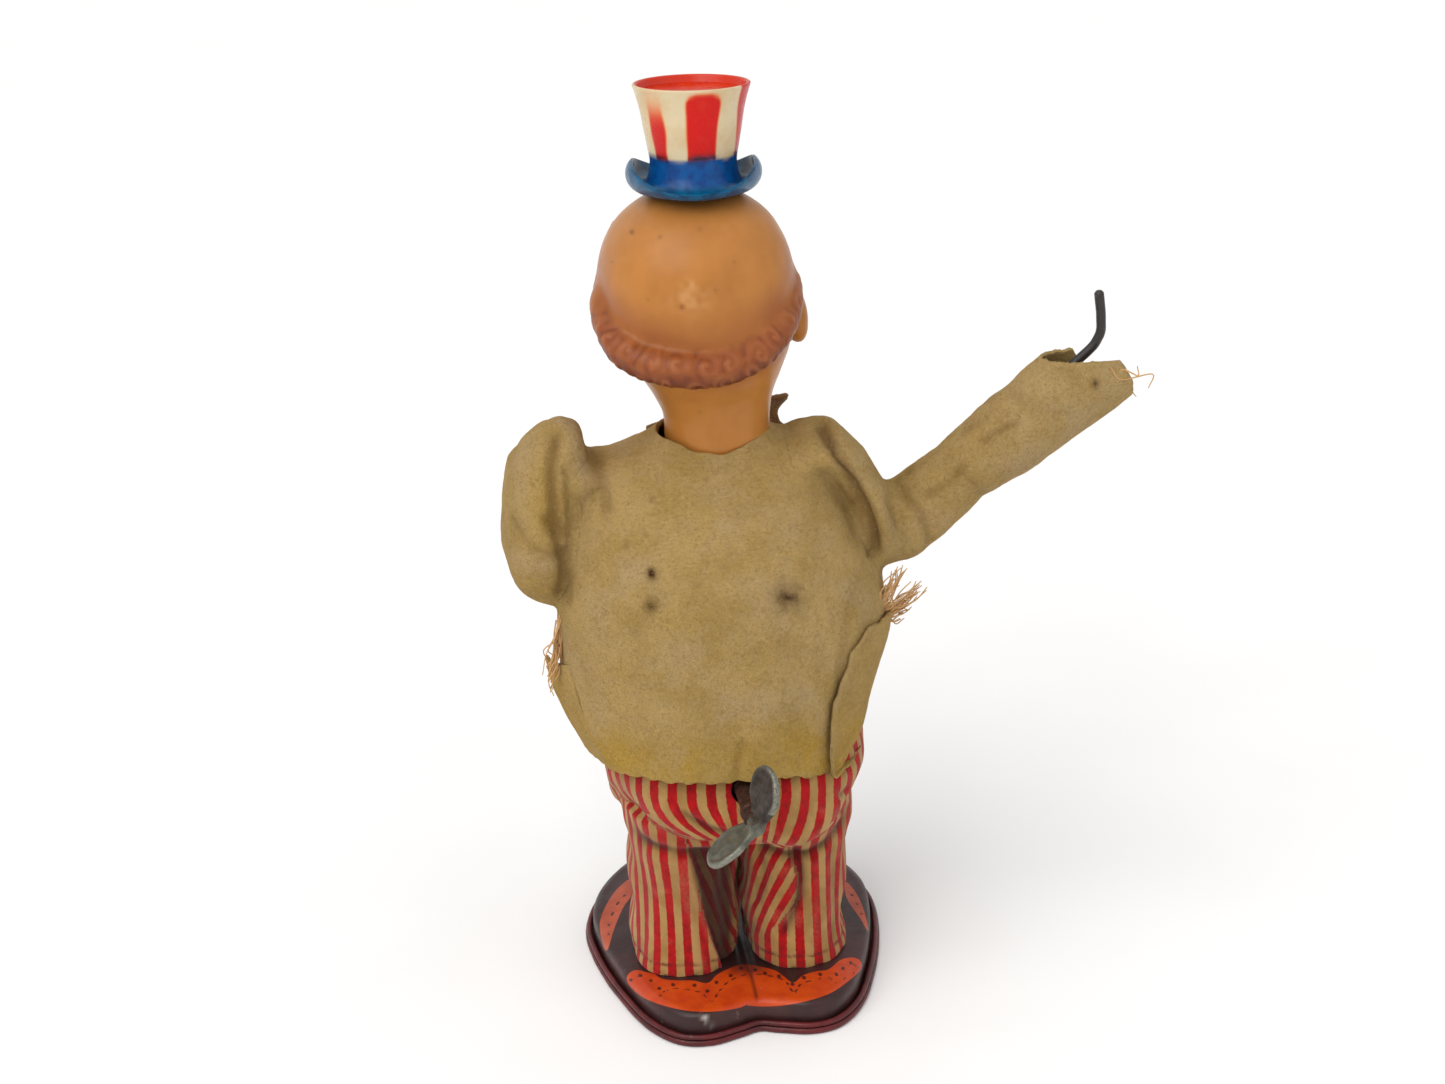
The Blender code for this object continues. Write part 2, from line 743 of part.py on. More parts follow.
# ---------------------------------------------------------------- rockers, rod and cross link
def strap(ends, radius, y0, y1, n=5):
    """A flat strap with round ends between two points in the XZ plane."""
    (ax, az), (bx, bz) = ends
    at = math.atan2(bz - az, bx - ax)
    outline = [(bx + radius * math.cos(at + a), bz + radius * math.sin(at + a)) for a in [math.pi * (k / n - 0.5) for k in range(n + 1)]]
    outline += [(ax + radius * math.cos(at + a), az + radius * math.sin(at + a)) for a in [math.pi * (k / n + 0.5) for k in range(n + 1)]]
    return prism_y(outline, y0, y1)


for side, sign, axis, horn in (("right", -1, right_axis, right_horn), ("left", 1, left_axis, left_horn)):
    pivot = (sign * ROCKER_X, ROCKER_Z)
    rocker = add(f"rocker_{side}", turned_y(*pivot, [(ROCKER_Y[0], 4.0), (ROCKER_Y[1], 4.0)], 14), STEEL, axis, smooth=0)
    boolean(rocker, add(f"join_horn_{side}", strap((pivot, horn), 2.1, *ROCKER_Y), STEEL), "UNION")
    outer = tuple(a + b for a, b in zip(pivot, (sign * 8.5, 1.0)))
    boolean(rocker, add(f"join_outer_{side}", strap((pivot, outer), 2.6, *ROCKER_Y), STEEL), "UNION")
    if side == "right":
        boolean(rocker, add("join_lever", strap((pivot, lever_end), 2.1, *ROCKER_Y), STEEL), "UNION")
        boolean(rocker, add("join_lever_pin", turned_y(*lever_end, [(-7.9, 1.0), (-5.3, 1.0)], 12), STEEL), "UNION")
    boolean(rocker, add(f"join_horn_pin_{side}", turned_y(*horn, [(-7.9, 1.0), (-5.3, 1.0)], 12), STEEL), "UNION")
    hole_y(rocker, *pivot, 1.3, -7, -3, 14)
    add(
        f"rocker_pivot_{side}",
        turned_y(*pivot, [(-6.7, 2.0), (-6.1, 2.0), (-6.1, 1.0), (-2.4, 1.0), (-2.4, 1.8), (-1.9, 1.8)], 14),
        STEEL,
    )

rod = add("connecting_rod", strap(((PIN[0], PIN[1]), lever_end), 1.9, *LINK_Y), STEEL, rod_axis, smooth=0)
hole_y(rod, *PIN, 1.0, -9, -5, 12)
hole_y(rod, *lever_end, 1.3, -9, -5, 12)

link = add("cross_link", strap((right_horn, left_horn), 1.9, *LINK_Y), STEEL, link_axis, smooth=0)
pin_x = HORN * math.sin(REST_SWING)
boolean(link, add("join_head_pin", turned_z(pin_x, HEAD_PIN_Y, [(134.3, 0.7), (140.6, 0.7)], 10), STEEL), "UNION")
hole_y(link, *right_horn, 1.3, -9, -5, 12)
hole_y(link, *left_horn, 1.3, -9, -5, 12)

# ---------------------------------------------------------------- arm wires
RIGHT_WIRE = smooth_path(
    [(-20.5, -7.4, 126.6), (-30, -7.2, 127.4), (-43, -5.5, 129.0), (-54, -3.2, 134.0), (-76, 0.8, 152.5), (-98, 3.6, 170.5), (-103.4, 4.2, 176.6), (-104.0, 4.3, 182.0), (-103.4, 4.3, 188.7)],
    2,
)
LEFT_WIRE = smooth_path(
    [(20.5, -7.4, 126.6), (31, -7.4, 128.0), (39.0, -8.0, 130.0), (43.4, -12.5, 131.0), (44.4, -24.0, 131.5), (44.4, -42.0, 132.5), (44.0, -54.5, 134.0), (43.6, -59.0, 137.5), (43.4, -60.0, 142.5)],
    2,
)
wire("arm_wire_right", RIGHT_WIRE, WIRE_R, WIRE, right_axis)
wire("arm_wire_left", LEFT_WIRE, WIRE_R, WIRE, left_axis)

# ---------------------------------------------------------------- neck, head, hat
collar = add(
    "neck_collar",
    loft(
        [
            circle_z(0, 0, 1.8, 150.2, 20),
            circle_z(0, 0, 10.4, 150.2, 20),
            circle_z(0, 0, 10.4, 156.0, 20),
            circle_z(0, 0, 9.6, 156.0, 20),
            circle_z(0, 0, 9.6, 151.0, 20),
            circle_z(0, 0, 1.8, 151.0, 20),
        ],
        close=True,
    ),
    TIN,
)
TURN = Matrix.Rotation(REST_TURN, 4, "Z")


def turned_head(bm):
    bmesh.ops.rotate(bm, cent=(0, 0, 0), matrix=TURN, verts=bm.verts)
    return bm


add("head_shaft", turned_z(0, 0, [(129.5, 1.5), (163.0, 1.5)], 12), STEEL, head_axis)
lever = add(
    "head_lever",
    turned_head(prism_z([(-2.6, 3.2), (-2.6, -10.2), (2.6, -10.2), (2.6, 3.2), (1.4, 4.4), (-1.4, 4.4)], 136.0, 137.0)),
    STEEL,
    head_axis,
    smooth=0,
)
hole_z(lever, 0, 0, 1.8, 133, 140, 12)
boolean(lever, add("cut_head_fork", turned_head(box((-1.05, -12, 133), (1.05, -5.6, 140))), TIN))
plug = add("head_plug", turned_z(0, 0, [(157.0, 10.2), (158.0, 10.7), (162.5, 10.7), (163.6, 9.6)], 20), WOOD, head_axis)
hole_z(plug, 0, 0, 1.8, 150, 163.3, 12)

HEAD_RINGS = (  # z, half width, front, rear; the outside of the vinyl
    (152.0, 13.0, -13.0, 13.0),
    (158.0, 13.3, -13.3, 13.3),
    (165.0, 14.8, -15.0, 15.0),
    (171.0, 17.6, -19.5, 17.8),
    (176.0, 20.6, -25.0, 20.8),
    (182.0, 24.2, -28.5, 23.2),
    (189.0, 26.0, -30.0, 24.4),
    (196.0, 26.0, -30.0, 24.6),
    (203.0, 24.8, -29.2, 24.0),
    (210.0, 22.6, -27.0, 21.8),
    (216.0, 18.9, -22.8, 17.8),
    (220.5, 13.6, -17.0, 12.2),
    (223.2, 7.6, -10.2, 5.4),
)
HEAD_TOP = (0.0, -2.4, 224.2)
HEAD_WALL = 1.8
rings = [[(0.0, -2.4, HEAD_TOP[2] - HEAD_WALL)]]
for z, hx, f, r in reversed(HEAD_RINGS[1:-1]):
    zz = z - 0.9 if z > 205 else z
    rings.append(oval(zz, hx - HEAD_WALL, f + HEAD_WALL, r - HEAD_WALL, 20))
rings.append(oval(152.0, 11.2, -11.2, 11.2, 20))
rings += [oval(z, hx, f, r, 20) for z, hx, f, r in HEAD_RINGS]
rings.append([HEAD_TOP])
head = add("head", turned_head(loft(rings)), VINYL, head_axis)
for side, sign in (("left", 1), ("right", -1)):
    ear = bmesh.new()
    bmesh.ops.create_uvsphere(ear, u_segments=12, v_segments=8, radius=1.0)
    bmesh.ops.scale(ear, vec=(2.6, 4.6, 7.6), verts=ear.verts)
    bmesh.ops.translate(ear, vec=(sign * 26.0, -5.0, 190.0), verts=ear.verts)
    boolean(head, add(f"join_ear_{side}", turned_head(ear), VINYL), "UNION")
nose_ball = bmesh.new()
bmesh.ops.create_uvsphere(nose_ball, u_segments=12, v_segments=8, radius=4.6)
bmesh.ops.translate(nose_ball, vec=(0, -31.0, 192.5), verts=nose_ball.verts)
boolean(head, add("join_nose", turned_head(nose_ball), VINYL), "UNION")

HAT_Y = -2.6


def hat_ring(r, z, lift, n=20):
    """A level ring about the hat's axis whose left and right sides are curled up by lift."""
    ring = []
    for k in range(n):
        a = 2 * math.pi * k / n
        side = abs(math.cos(a)) ** 3
        ring.append(((r - 0.06 * lift * side * r / 4) * math.cos(a), HAT_Y + r * math.sin(a), z + lift * side))
    return ring


add(
    "hat",
    turned_head(
        loft(
            [
                [(0, HAT_Y, 246.6)],
                hat_ring(9.6, 246.4, 0),
                hat_ring(11.6, 245.4, 0),
                hat_ring(10.6, 234.0, 0),
                hat_ring(10.6, 227.6, 0),
                hat_ring(11.8, 223.4, 0),
                hat_ring(13.6, 222.7, 1.2),
                hat_ring(17.2, 222.9, 9.2),
                hat_ring(17.9, 223.6, 10.2),
                hat_ring(17.4, 224.2, 10.0),
                hat_ring(14.4, 224.4, 3.2),
                hat_ring(12.5, 227.2, 0),
                hat_ring(11.9, 231.0, 0),
                hat_ring(13.3, 241.0, 0),
                hat_ring(14.65, 249.6, 0),
                hat_ring(14.2, 250.0, 0),
                hat_ring(13.5, 249.4, 0),
                hat_ring(13.1, 248.0, 0),
                [(0, HAT_Y, 247.8)],
            ]
        )
    ),
    HAT,
    head_axis,
)

# ---------------------------------------------------------------- clothes, as plain closed solids
SHIRT_OUT = (  # z, centre x, half width, front, rear
    (77.0, 0.0, 38.5, -35.0, 37.5),
    (88.0, 0.4, 41.8, -36.5, 38.0),
    (104.0, 0.5, 43.8, -37.0, 37.0),
    (118.0, 1.5, 42.4, -34.5, 35.5),
    (130.0, 2.8, 39.0, -30.0, 32.5),
    (141.0, 3.4, 36.0, -25.5, 28.5),
    (150.0, 3.2, 31.6, -20.5, 23.6),
    (156.0, 1.8, 24.6, -17.0, 19.4),
    (160.0, 0.0, 16.4, -15.6, 15.8),
)
SHIRT_WALL = 2.4


def shirt_rings(grow, n=24):
    return [oval(z + grow * 0.4, hx + grow, f - grow, r + grow, n, 2.3, cx) for z, cx, hx, f, r in SHIRT_OUT]


inner = []
for z, cx, hx, f, r in reversed(SHIRT_OUT[:-1]):
    drop = 2.0 if z > 140 else 1.0 if z > 125 else 0.0
    inner.append(oval(z - drop, hx - SHIRT_WALL, f + SHIRT_WALL, r - SHIRT_WALL, 24, 2.3, cx))
shirt = add(
    "shirt",
    loft(shirt_rings(0) + [oval(160.0, 14.3, -14.3, 14.3, 24), oval(157.2, 14.3, -14.3, 14.3, 24)] + inner, close=True),
    FELT,
)
hole_x(shirt, -7.0, ROCKER_Z - 1.0, 8.0, -60, -20, 12, 1.25)
hole_x(shirt, -8.0, ROCKER_Z + 6.0, 8.5, 20, 60, 12, 1.15)


def shirt_cutter(name, lift=0.0, pivot=-ROCKER_X):
    """The shirt's outside grown by half a millimetre, turned by lift degrees about a rocker's pivot, its right side up."""
    c, s = math.cos(math.radians(lift)), math.sin(math.radians(lift))
    rings = []
    for ring in [oval(60, 38.9, -35.4, 37.9, 24, 2.3)] + shirt_rings(0.5) + [oval(166, 12, -12, 12, 24)]:
        rings.append(
            [
                (pivot + (x - pivot) * c + (z - ROCKER_Z) * s, y, ROCKER_Z - (x - pivot) * s + (z - ROCKER_Z) * c)
                for x, y, z in ring
            ]
        )
    return add(name, loft(rings), TIN)


def sweep_cutter(name, r0, r1, low, high, y0, y1):
    """The space that the right forearm sweeps, as a ring sector about the rocker's pivot."""
    outline = []
    steps = 14
    for k in range(steps + 1):
        a = math.radians(180 - (low + (high - low) * k / steps))
        outline.append((-ROCKER_X + r0 * math.cos(a), ROCKER_Z + r0 * math.sin(a)))
    for k in range(steps, -1, -1):
        a = math.radians(180 - (low + (high - low) * k / steps))
        outline.append((-ROCKER_X + r1 * math.cos(a), ROCKER_Z + r1 * math.sin(a)))
    return add(name, prism_y(outline, y0, y1), TIN)


# Right shoulder: the fold of felt from the neck down to where the forearm begins.
shoulder_path = smooth_path([(-25.0, 1, 158.0), (-32.5, 1, 153.5), (-38.0, 0, 146.0), (-40.0, 0, 136.0)], 2)
sizes = [(3.6, 10.0), (4.8, 12.0), (5.4, 13.5), (5.6, 14.0), (5.6, 14.0), (5.2, 13.0), (4.4, 11.5)]
piece = add("sleeve_right_upper", loft(section_rings(shoulder_path, sizes, 14)), FELT)
boolean(piece, shirt_cutter("cut_shoulder_shirt"))
boolean(piece, sweep_cutter("cut_shoulder_sweep", 25.0, 90, -60, 53, -40, 40))

# Right forearm: a tube of felt from the elbow up to the open cuff.
fore_path = [(-43.0, -3.0, 128.0), (-54.0, -2.4, 131.6), (-64.0, -0.8, 139.2), (-77.0, 1.6, 149.0), (-91.0, 3.6, 159.5), (-104.3, 4.8, 169.4)]
fore_out = [(10.3, 10.0), (10.6, 10.6), (10.4, 10.2), (11.2, 10.4), (11.8, 10.8), (12.2, 11.2)]
fore_in = [(a - 2.2, b - 2.2) for a, b in fore_out]
piece = add(
    "sleeve_right_forearm",
    loft(section_rings(fore_path, fore_out, 16) + list(reversed(section_rings(fore_path, fore_in, 16))), close=True),
    FELT,
    right_axis,
)
inner_cut = turned_y(-ROCKER_X, ROCKER_Z, [(-40, 25.9), (40, 25.9)], 32)
boolean(piece, add("cut_forearm_root", inner_cut, TIN))
for lift in (0, 7, 13, 19):
    boolean(piece, shirt_cutter(f"cut_forearm_shirt_{lift}", lift))

# Left shoulder: a full puff, hollow, with the wire turning forwards inside it.
puff = (  # z, half width, half depth
    (164.3, 2.0, 3.5),
    (162.0, 6.0, 9.0),
    (156.5, 9.2, 13.5),
    (148.5, 10.8, 16.0),
    (139.5, 11.2, 17.0),
    (130.5, 10.8, 16.0),
    (122.0, 9.4, 12.5),
    (116.0, 6.0, 8.2),
    (113.6, 2.0, 3.0),
)


def puff_ring(z, hx, hy, thin=0.0, n=16):
    cx = 45.6 - max(0.0, z - 150.0) * 0.3
    return oval(z, hx - thin, 1.0 - hy + thin, 1.0 + hy - thin, n, 2.2, cx)


piece = add("sleeve_left_upper", loft([puff_ring(*p) for p in puff]), FELT)
boolean(piece, add("cut_puff_inside", loft([puff_ring(z, hx, hy, 2.4) for z, hx, hy in puff[2:7]]), TIN))
boolean(piece, shirt_cutter("cut_puff_shirt"))
hole_x(piece, -7.0, ROCKER_Z + 6.5, 8.6, 25, 45, 16, 1.3)
boolean(piece, add("cut_puff_front", turned_y(43.8, 133.6, [(-30, 9.0), (0, 9.0)], 16), TIN))
boolean(piece, add("cut_puff_face", box((20, -60, 100), (70, -14.0, 170)), TIN))

fore_path = [(46.8, -17.5, 131.2), (46.4, -24.0, 131.2), (45.6, -34.0, 131.6), (44.9, -44.0, 132.4), (44.3, -50.5, 133.2)]
fore_out = [(10.4, 11.5), (10.2, 11.6), (9.6, 10.8), (9.8, 10.6), (10.2, 11.0)]
fore_in = [(a - 2.2, b - 2.2) for a, b in fore_out]
piece = add(
    "sleeve_left_forearm",
    loft(
        section_rings(fore_path, fore_out, 14, up=(0, 0, 1))
        + list(reversed(section_rings(fore_path, fore_in, 14, up=(0, 0, 1)))),
        close=True,
    ),
    FELT,
    left_axis,
)
for lift in (-4, 0):
    boolean(piece, shirt_cutter(f"cut_left_forearm_shirt_{-lift}", lift, ROCKER_X))

# Trousers: hips and two legs in one piece, hollow for the tin body and legs.
hips = add(
    "trousers",
    loft(
        [
            oval(44.0, 30.0, -20.0, 27.0, 20, 2.4),
            oval(50.0, 33.5, -24.0, 34.0, 20, 2.4),
            oval(58.0, 35.0, -26.5, 37.5, 20, 2.4),
            oval(68.0, 35.0, -27.0, 36.0, 20, 2.4),
            oval(79.0, 33.5, -27.0, 32.5, 20, 2.4),
        ]
    ),
    STRIPE,
)
for side, sign in (("left", 1), ("right", -1)):
    leg = loft(
        [
            oval(BASE_TOP + 0.9, 14.8, -9.5, 25.5, 16, 2.3, sign * 16.8),
            oval(20.0, 14.5, -10.0, 25.0, 16, 2.3, sign * 16.6),
            oval(34.0, 14.7, -12.0, 25.5, 16, 2.3, sign * 16.6),
            oval(50.0, 15.0, -14.0, 27.0, 16, 2.3, sign * 16.6),
        ]
    )
    boolean(hips, add(f"join_trouser_leg_{side}", leg, STRIPE), "UNION")
for side, sign in (("left", 1), ("right", -1)):
    bore = turned_z(sign * LEG_X, LEG_Y, [(2.0, 9.0), (40.0, 9.9), (53.5, 10.2)], 14)
    boolean(hips, add(f"cut_trouser_leg_{side}", bore, TIN))
waist = [oval(51.6, 25.2, BODY_CY - 20.7, BODY_CY + 20.7, 20, 2.6), oval(56.0, 27.2, BODY_CY - 22.7, BODY_CY + 22.7, 20, 2.6)]
waist += [oval(72.0, 28.2, BODY_CY - 23.2, BODY_CY + 23.2, 20, 2.6), oval(90.0, 28.6, BODY_CY - 23.3, BODY_CY + 23.3, 20, 2.6)]
boolean(hips, add("cut_trouser_waist", loft(waist), TIN))
hole_y(hips, *WINDING, 3.6, 18, 60, 16)

# Bow tie: two lobes and a knot, under the chin.
tie = []
for k in range(13):
    x = -19.0 + 19.0 * k / 6
    s = abs(x) / 19.0
    height = 2.6 + 3.6 * math.sin(min(1.0, s * 1.3) * math.pi / 2) - 2.0 * max(0.0, s - 0.7) if s < 0.99 else 4.0
    thick = 2.5 - 0.9 * s
    ring = []
    for j in range(10):
        a = 2 * math.pi * j / 10
        ring.append((x - 5.0, -25.8 + thick * math.cos(a), 153.2 - 0.08 * x + height * math.sin(a)))
    tie.append(ring)
add("bow_tie", loft(tie), TIE)
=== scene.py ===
"""Looks for the wind-up clown figure: cloth, vinyl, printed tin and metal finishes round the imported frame."""

import json
import math

import bpy
import numpy as np
from mathutils import Matrix, Vector


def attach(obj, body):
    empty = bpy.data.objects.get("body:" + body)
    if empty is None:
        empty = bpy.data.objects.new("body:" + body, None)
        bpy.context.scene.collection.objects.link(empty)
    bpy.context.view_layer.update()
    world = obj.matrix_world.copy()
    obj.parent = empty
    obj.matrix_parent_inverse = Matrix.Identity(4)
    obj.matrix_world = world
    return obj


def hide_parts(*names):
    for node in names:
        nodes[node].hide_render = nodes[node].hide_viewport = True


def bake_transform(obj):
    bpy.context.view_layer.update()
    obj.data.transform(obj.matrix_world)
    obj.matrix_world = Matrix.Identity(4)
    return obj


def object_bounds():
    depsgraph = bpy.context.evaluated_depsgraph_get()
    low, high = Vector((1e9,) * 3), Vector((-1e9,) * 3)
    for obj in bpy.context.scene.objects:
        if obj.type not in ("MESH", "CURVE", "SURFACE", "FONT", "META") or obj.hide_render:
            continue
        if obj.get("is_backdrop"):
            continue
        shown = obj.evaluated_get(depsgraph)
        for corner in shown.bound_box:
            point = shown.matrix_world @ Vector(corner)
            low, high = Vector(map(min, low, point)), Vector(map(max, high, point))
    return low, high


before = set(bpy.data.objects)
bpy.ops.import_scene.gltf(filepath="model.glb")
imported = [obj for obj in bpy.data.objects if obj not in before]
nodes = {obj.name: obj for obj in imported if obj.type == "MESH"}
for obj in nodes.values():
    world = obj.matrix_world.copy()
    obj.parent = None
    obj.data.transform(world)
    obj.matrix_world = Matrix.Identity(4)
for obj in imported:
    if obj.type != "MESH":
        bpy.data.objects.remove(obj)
cad_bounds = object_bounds()
MM = 0.001

# ---------------------------------------------------------------- camera
VIEW_W, VIEW_H, FOCAL = 1445.0, 1084.0, 2407.0
EYE = np.array((66.526, 596.302, 368.567))
YAW, PITCH, ROLL = 0.113446, 0.383049, -0.050400
_f = np.array((-math.sin(YAW) * math.cos(PITCH), -math.cos(YAW) * math.cos(PITCH), -math.sin(PITCH)))
_r0 = np.array((-math.cos(YAW), math.sin(YAW), 0.0))
_u0 = np.cross(_r0, _f)
_r = math.cos(ROLL) * _r0 + math.sin(ROLL) * _u0
_u = -math.sin(ROLL) * _r0 + math.cos(ROLL) * _u0


def view_uv(p):
    """Where points in millimetres fall in the picture plane of the camera below, for placing folds and prints."""
    d = np.asarray(p, float) - EYE
    z = d @ _f
    return np.stack([VIEW_W / 2 + FOCAL * (d @ _r) / z, VIEW_H / 2 - FOCAL * (d @ _u) / z], -1)


def on_level(pts, z):
    """Where the lines of sight through picture points meet a level plane."""
    out = []
    for u, v in pts:
        d = _f + (u - VIEW_W / 2) / FOCAL * _r - (v - VIEW_H / 2) / FOCAL * _u
        q = EYE + (z - EYE[2]) / d[2] * d
        out.append((q[0], q[1]))
    return np.array(out)


def facing(p, n):
    d = EYE - np.asarray(p, float)
    d /= np.linalg.norm(d, axis=1)[:, None]
    return np.clip(((n * d).sum(1) - 0.05) * 3.0, 0, 1)


# ---------------------------------------------------------------- numbers
def _lattice(ix, iy, iz, seed):
    h = (ix * 374761393 + iy * 668265263 + iz * 1274126177 + seed * 974634777) & 0xFFFFFFFF
    h = ((h ^ (h >> 13)) * 1274126177) & 0xFFFFFFFF
    return ((h ^ (h >> 16)) & 0xFFFF) / 32767.5 - 1.0


def noise(p, size, seed=1):
    """Smooth noise from -1 to 1, with bumps about size millimetres across."""
    q = np.asarray(p, float) / size
    i = np.floor(q).astype(np.int64)
    t = q - i
    t = t * t * (3 - 2 * t)
    out = 0.0
    for dx in (0, 1):
        for dy in (0, 1):
            for dz in (0, 1):
                w = (t[..., 0] if dx else 1 - t[..., 0]) * (t[..., 1] if dy else 1 - t[..., 1]) * (t[..., 2] if dz else 1 - t[..., 2])
                out = out + w * _lattice(i[..., 0] + dx, i[..., 1] + dy, i[..., 2] + dz, seed)
    return out


def fbm(p, size, seed=1, octaves=3):
    out, amp, total = 0.0, 1.0, 0.0
    for k in range(octaves):
        out = out + amp * noise(p, size / 2**k, seed + 7 * k)
        total += amp
        amp *= 0.5
    return out / total


def smooth(a, b, x):
    t = np.clip((x - a) / (b - a), 0, 1)
    return t * t * (3 - 2 * t)


def curve(points, per=6, closed=False):
    """A Catmull-Rom curve through the points."""
    p = np.asarray(points, float)
    n = len(p)
    out = []
    for i in range(n if closed else n - 1):
        if closed:
            a, b, c, d = (p[(i + k - 1) % n] for k in range(4))
        else:
            b, c = p[i], p[i + 1]
            a = p[i - 1] if i else 2 * b - c
            d = p[i + 2] if i + 2 < n else 2 * c - b
        for k in range(per):
            t = k / per
            out.append(0.5 * (2 * b + (c - a) * t + (2 * a - 5 * b + 4 * c - d) * t * t + (3 * b - a - 3 * c + d) * t**3))
    if not closed:
        out.append(p[-1])
    return np.array(out)


def polyline(p, pts):
    """Distance of each 2-D point to a line of points, the length along it, and the side (+ is left of the line's direction)."""
    pts = np.asarray(pts, float)
    best = np.full(len(p), 1e9)
    along = np.zeros(len(p))
    side = np.zeros(len(p))
    run = 0.0
    for a, b in zip(pts[:-1], pts[1:]):
        ab = b - a
        length = max(np.hypot(*ab), 1e-9)
        t = np.clip(((p - a) @ ab) / length**2, 0, 1)
        q = p - (a + t[:, None] * ab)
        d = np.hypot(q[:, 0], q[:, 1])
        near = d < best
        best[near] = d[near]
        along[near] = (run + t * length)[near]
        cross = ab[0] * (p[:, 1] - a[1]) - ab[1] * (p[:, 0] - a[0])
        side[near] = np.sign(cross)[near]
        run += length
    return best, along, side


def inside(p, poly):
    """True for 2-D points within a closed polygon."""
    poly = np.asarray(poly, float)
    got = np.zeros(len(p), bool)
    for a, b in zip(poly, np.roll(poly, -1, axis=0)):
        cut = (a[1] > p[:, 1]) != (b[1] > p[:, 1])
        dy = b[1] - a[1] if abs(b[1] - a[1]) > 1e-12 else 1e-12
        x = a[0] + (p[:, 1] - a[1]) / dy * (b[0] - a[0])
        got ^= cut & (p[:, 0] < x)
    return got


def area_field(p, poly):
    """Signed distance to a closed outline in 2-D, negative inside."""
    poly = np.asarray(poly, float)
    d = polyline(p, np.vstack([poly, poly[:1]]))[0]
    return np.where(inside(p, poly), -d, d)


# ---------------------------------------------------------------- implicit shapes
def smin(a, b, k):
    h = np.clip(0.5 + 0.5 * (b - a) / k, 0, 1)
    return b * (1 - h) + a * h - k * h * (1 - h)


def smax(a, b, k):
    return -smin(-a, -b, k)


def rings_at(table, z):
    table = np.asarray(table, float)
    dense = curve(table, 8) if len(table) > 2 else table
    order = np.argsort(dense[:, 0])
    return [np.interp(z, dense[order, 0], dense[order, k]) for k in range(1, table.shape[1])]


def ring_field(p, table, power=2.3):
    """A body of level oval rings (z, centre x, half width, front y, rear y)."""
    z = p[..., 2]
    cx, hx, front, rear = rings_at(table, z)
    qx, qy = p[..., 0] - cx, p[..., 1]
    r = (np.abs(qx / hx) ** power + np.abs(qy / np.where(qy > 0, rear, -front)) ** power) ** (1 / power)
    out = (r - 1) * np.hypot(qx, qy) / np.maximum(r, 1e-6)
    out = np.where(r < 1e-3, -np.minimum(hx, rear), out)
    zs = [row[0] for row in table]
    return smax(out, np.maximum(z - max(zs), min(zs) - z), 2.0)


def tube_field(p, path, radii, scale=(1, 1, 1)):
    s = np.asarray(scale, float)
    path = np.asarray(path, float) * s
    q = p * s
    best = np.full(p.shape[:-1], 1e9)
    for i in range(len(path) - 1):
        a, ab = path[i], path[i + 1] - path[i]
        t = np.clip(((q - a) @ ab) / max(ab @ ab, 1e-9), 0, 1)
        d = np.linalg.norm(q - (a + t[..., None] * ab), axis=-1)
        best = np.minimum(best, d - (radii[i] + (radii[i + 1] - radii[i]) * t))
    return best


def ball_field(p, centre, radii):
    q = (p - np.asarray(centre, float)) / np.asarray(radii, float)
    r = np.linalg.norm(q, axis=-1)
    return (r - 1) * np.linalg.norm(p - np.asarray(centre, float), axis=-1) / np.maximum(r, 1e-6)


def grid(low, high, step):
    axes = [np.arange(a, b + step, step) for a, b in zip(low, high)]
    g = np.stack(np.meshgrid(*axes, indexing="ij"), -1)
    return g, np.array(low, float), step


def skin(field, low, step):
    """Surface nets: the surface where the field is nought, as points and outward quads."""
    neg = field < 0
    shape = np.array(field.shape) - 1
    total = np.zeros((*shape, 3))
    count = np.zeros(shape, np.int32)
    crossings = []
    for axis in range(3):
        a = [slice(None)] * 3
        b = [slice(None)] * 3
        a[axis], b[axis] = slice(0, -1), slice(1, None)
        fa, fb = field[tuple(a)], field[tuple(b)]
        cross = neg[tuple(a)] != neg[tuple(b)]
        crossings.append((cross, neg[tuple(a)]))
        ix = np.argwhere(cross)
        va, vb = fa[cross], fb[cross]
        pos = ix.astype(float)
        pos[:, axis] += va / (va - vb)
        others = [k for k in range(3) if k != axis]
        for d0 in (0, 1):
            for d1 in (0, 1):
                cell = ix.copy()
                cell[:, others[0]] -= d0
                cell[:, others[1]] -= d1
                ok = ((cell >= 0) & (cell < shape)).all(1)
                flat = np.ravel_multi_index(cell[ok].T, shape)
                count += np.bincount(flat, minlength=count.size).reshape(shape).astype(np.int32)
                for c in range(3):
                    total[..., c] += np.bincount(flat, pos[ok][:, c], minlength=count.size).reshape(shape)
    active = count > 0
    index = np.full(shape, -1)
    index[active] = np.arange(active.sum())
    verts = total[active] / count[active][:, None] * step + low
    quads = []
    for axis in range(3):
        cross, a_neg = crossings[axis]
        ix = np.argwhere(cross)
        flip = a_neg[cross]
        o = [(axis + 1) % 3, (axis + 2) % 3]
        ok = (ix[:, o[0]] > 0) & (ix[:, o[1]] > 0) & (ix[:, o[0]] < shape[o[0]]) & (ix[:, o[1]] < shape[o[1]])
        ix, flip = ix[ok], flip[ok]
        corners = []
        for d0, d1 in ((1, 1), (0, 1), (0, 0), (1, 0)):
            cell = ix.copy()
            cell[:, o[0]] -= d0
            cell[:, o[1]] -= d1
            corners.append(index[cell[:, 0], cell[:, 1], cell[:, 2]])
        q = np.stack(corners, 1)
        q[~flip] = q[~flip][:, ::-1]
        quads.append(q)
    return verts, np.concatenate(quads)


# ---------------------------------------------------------------- meshes as arrays
def as_faces(faces):
    return [tuple(int(i) for i in f) for f in faces]


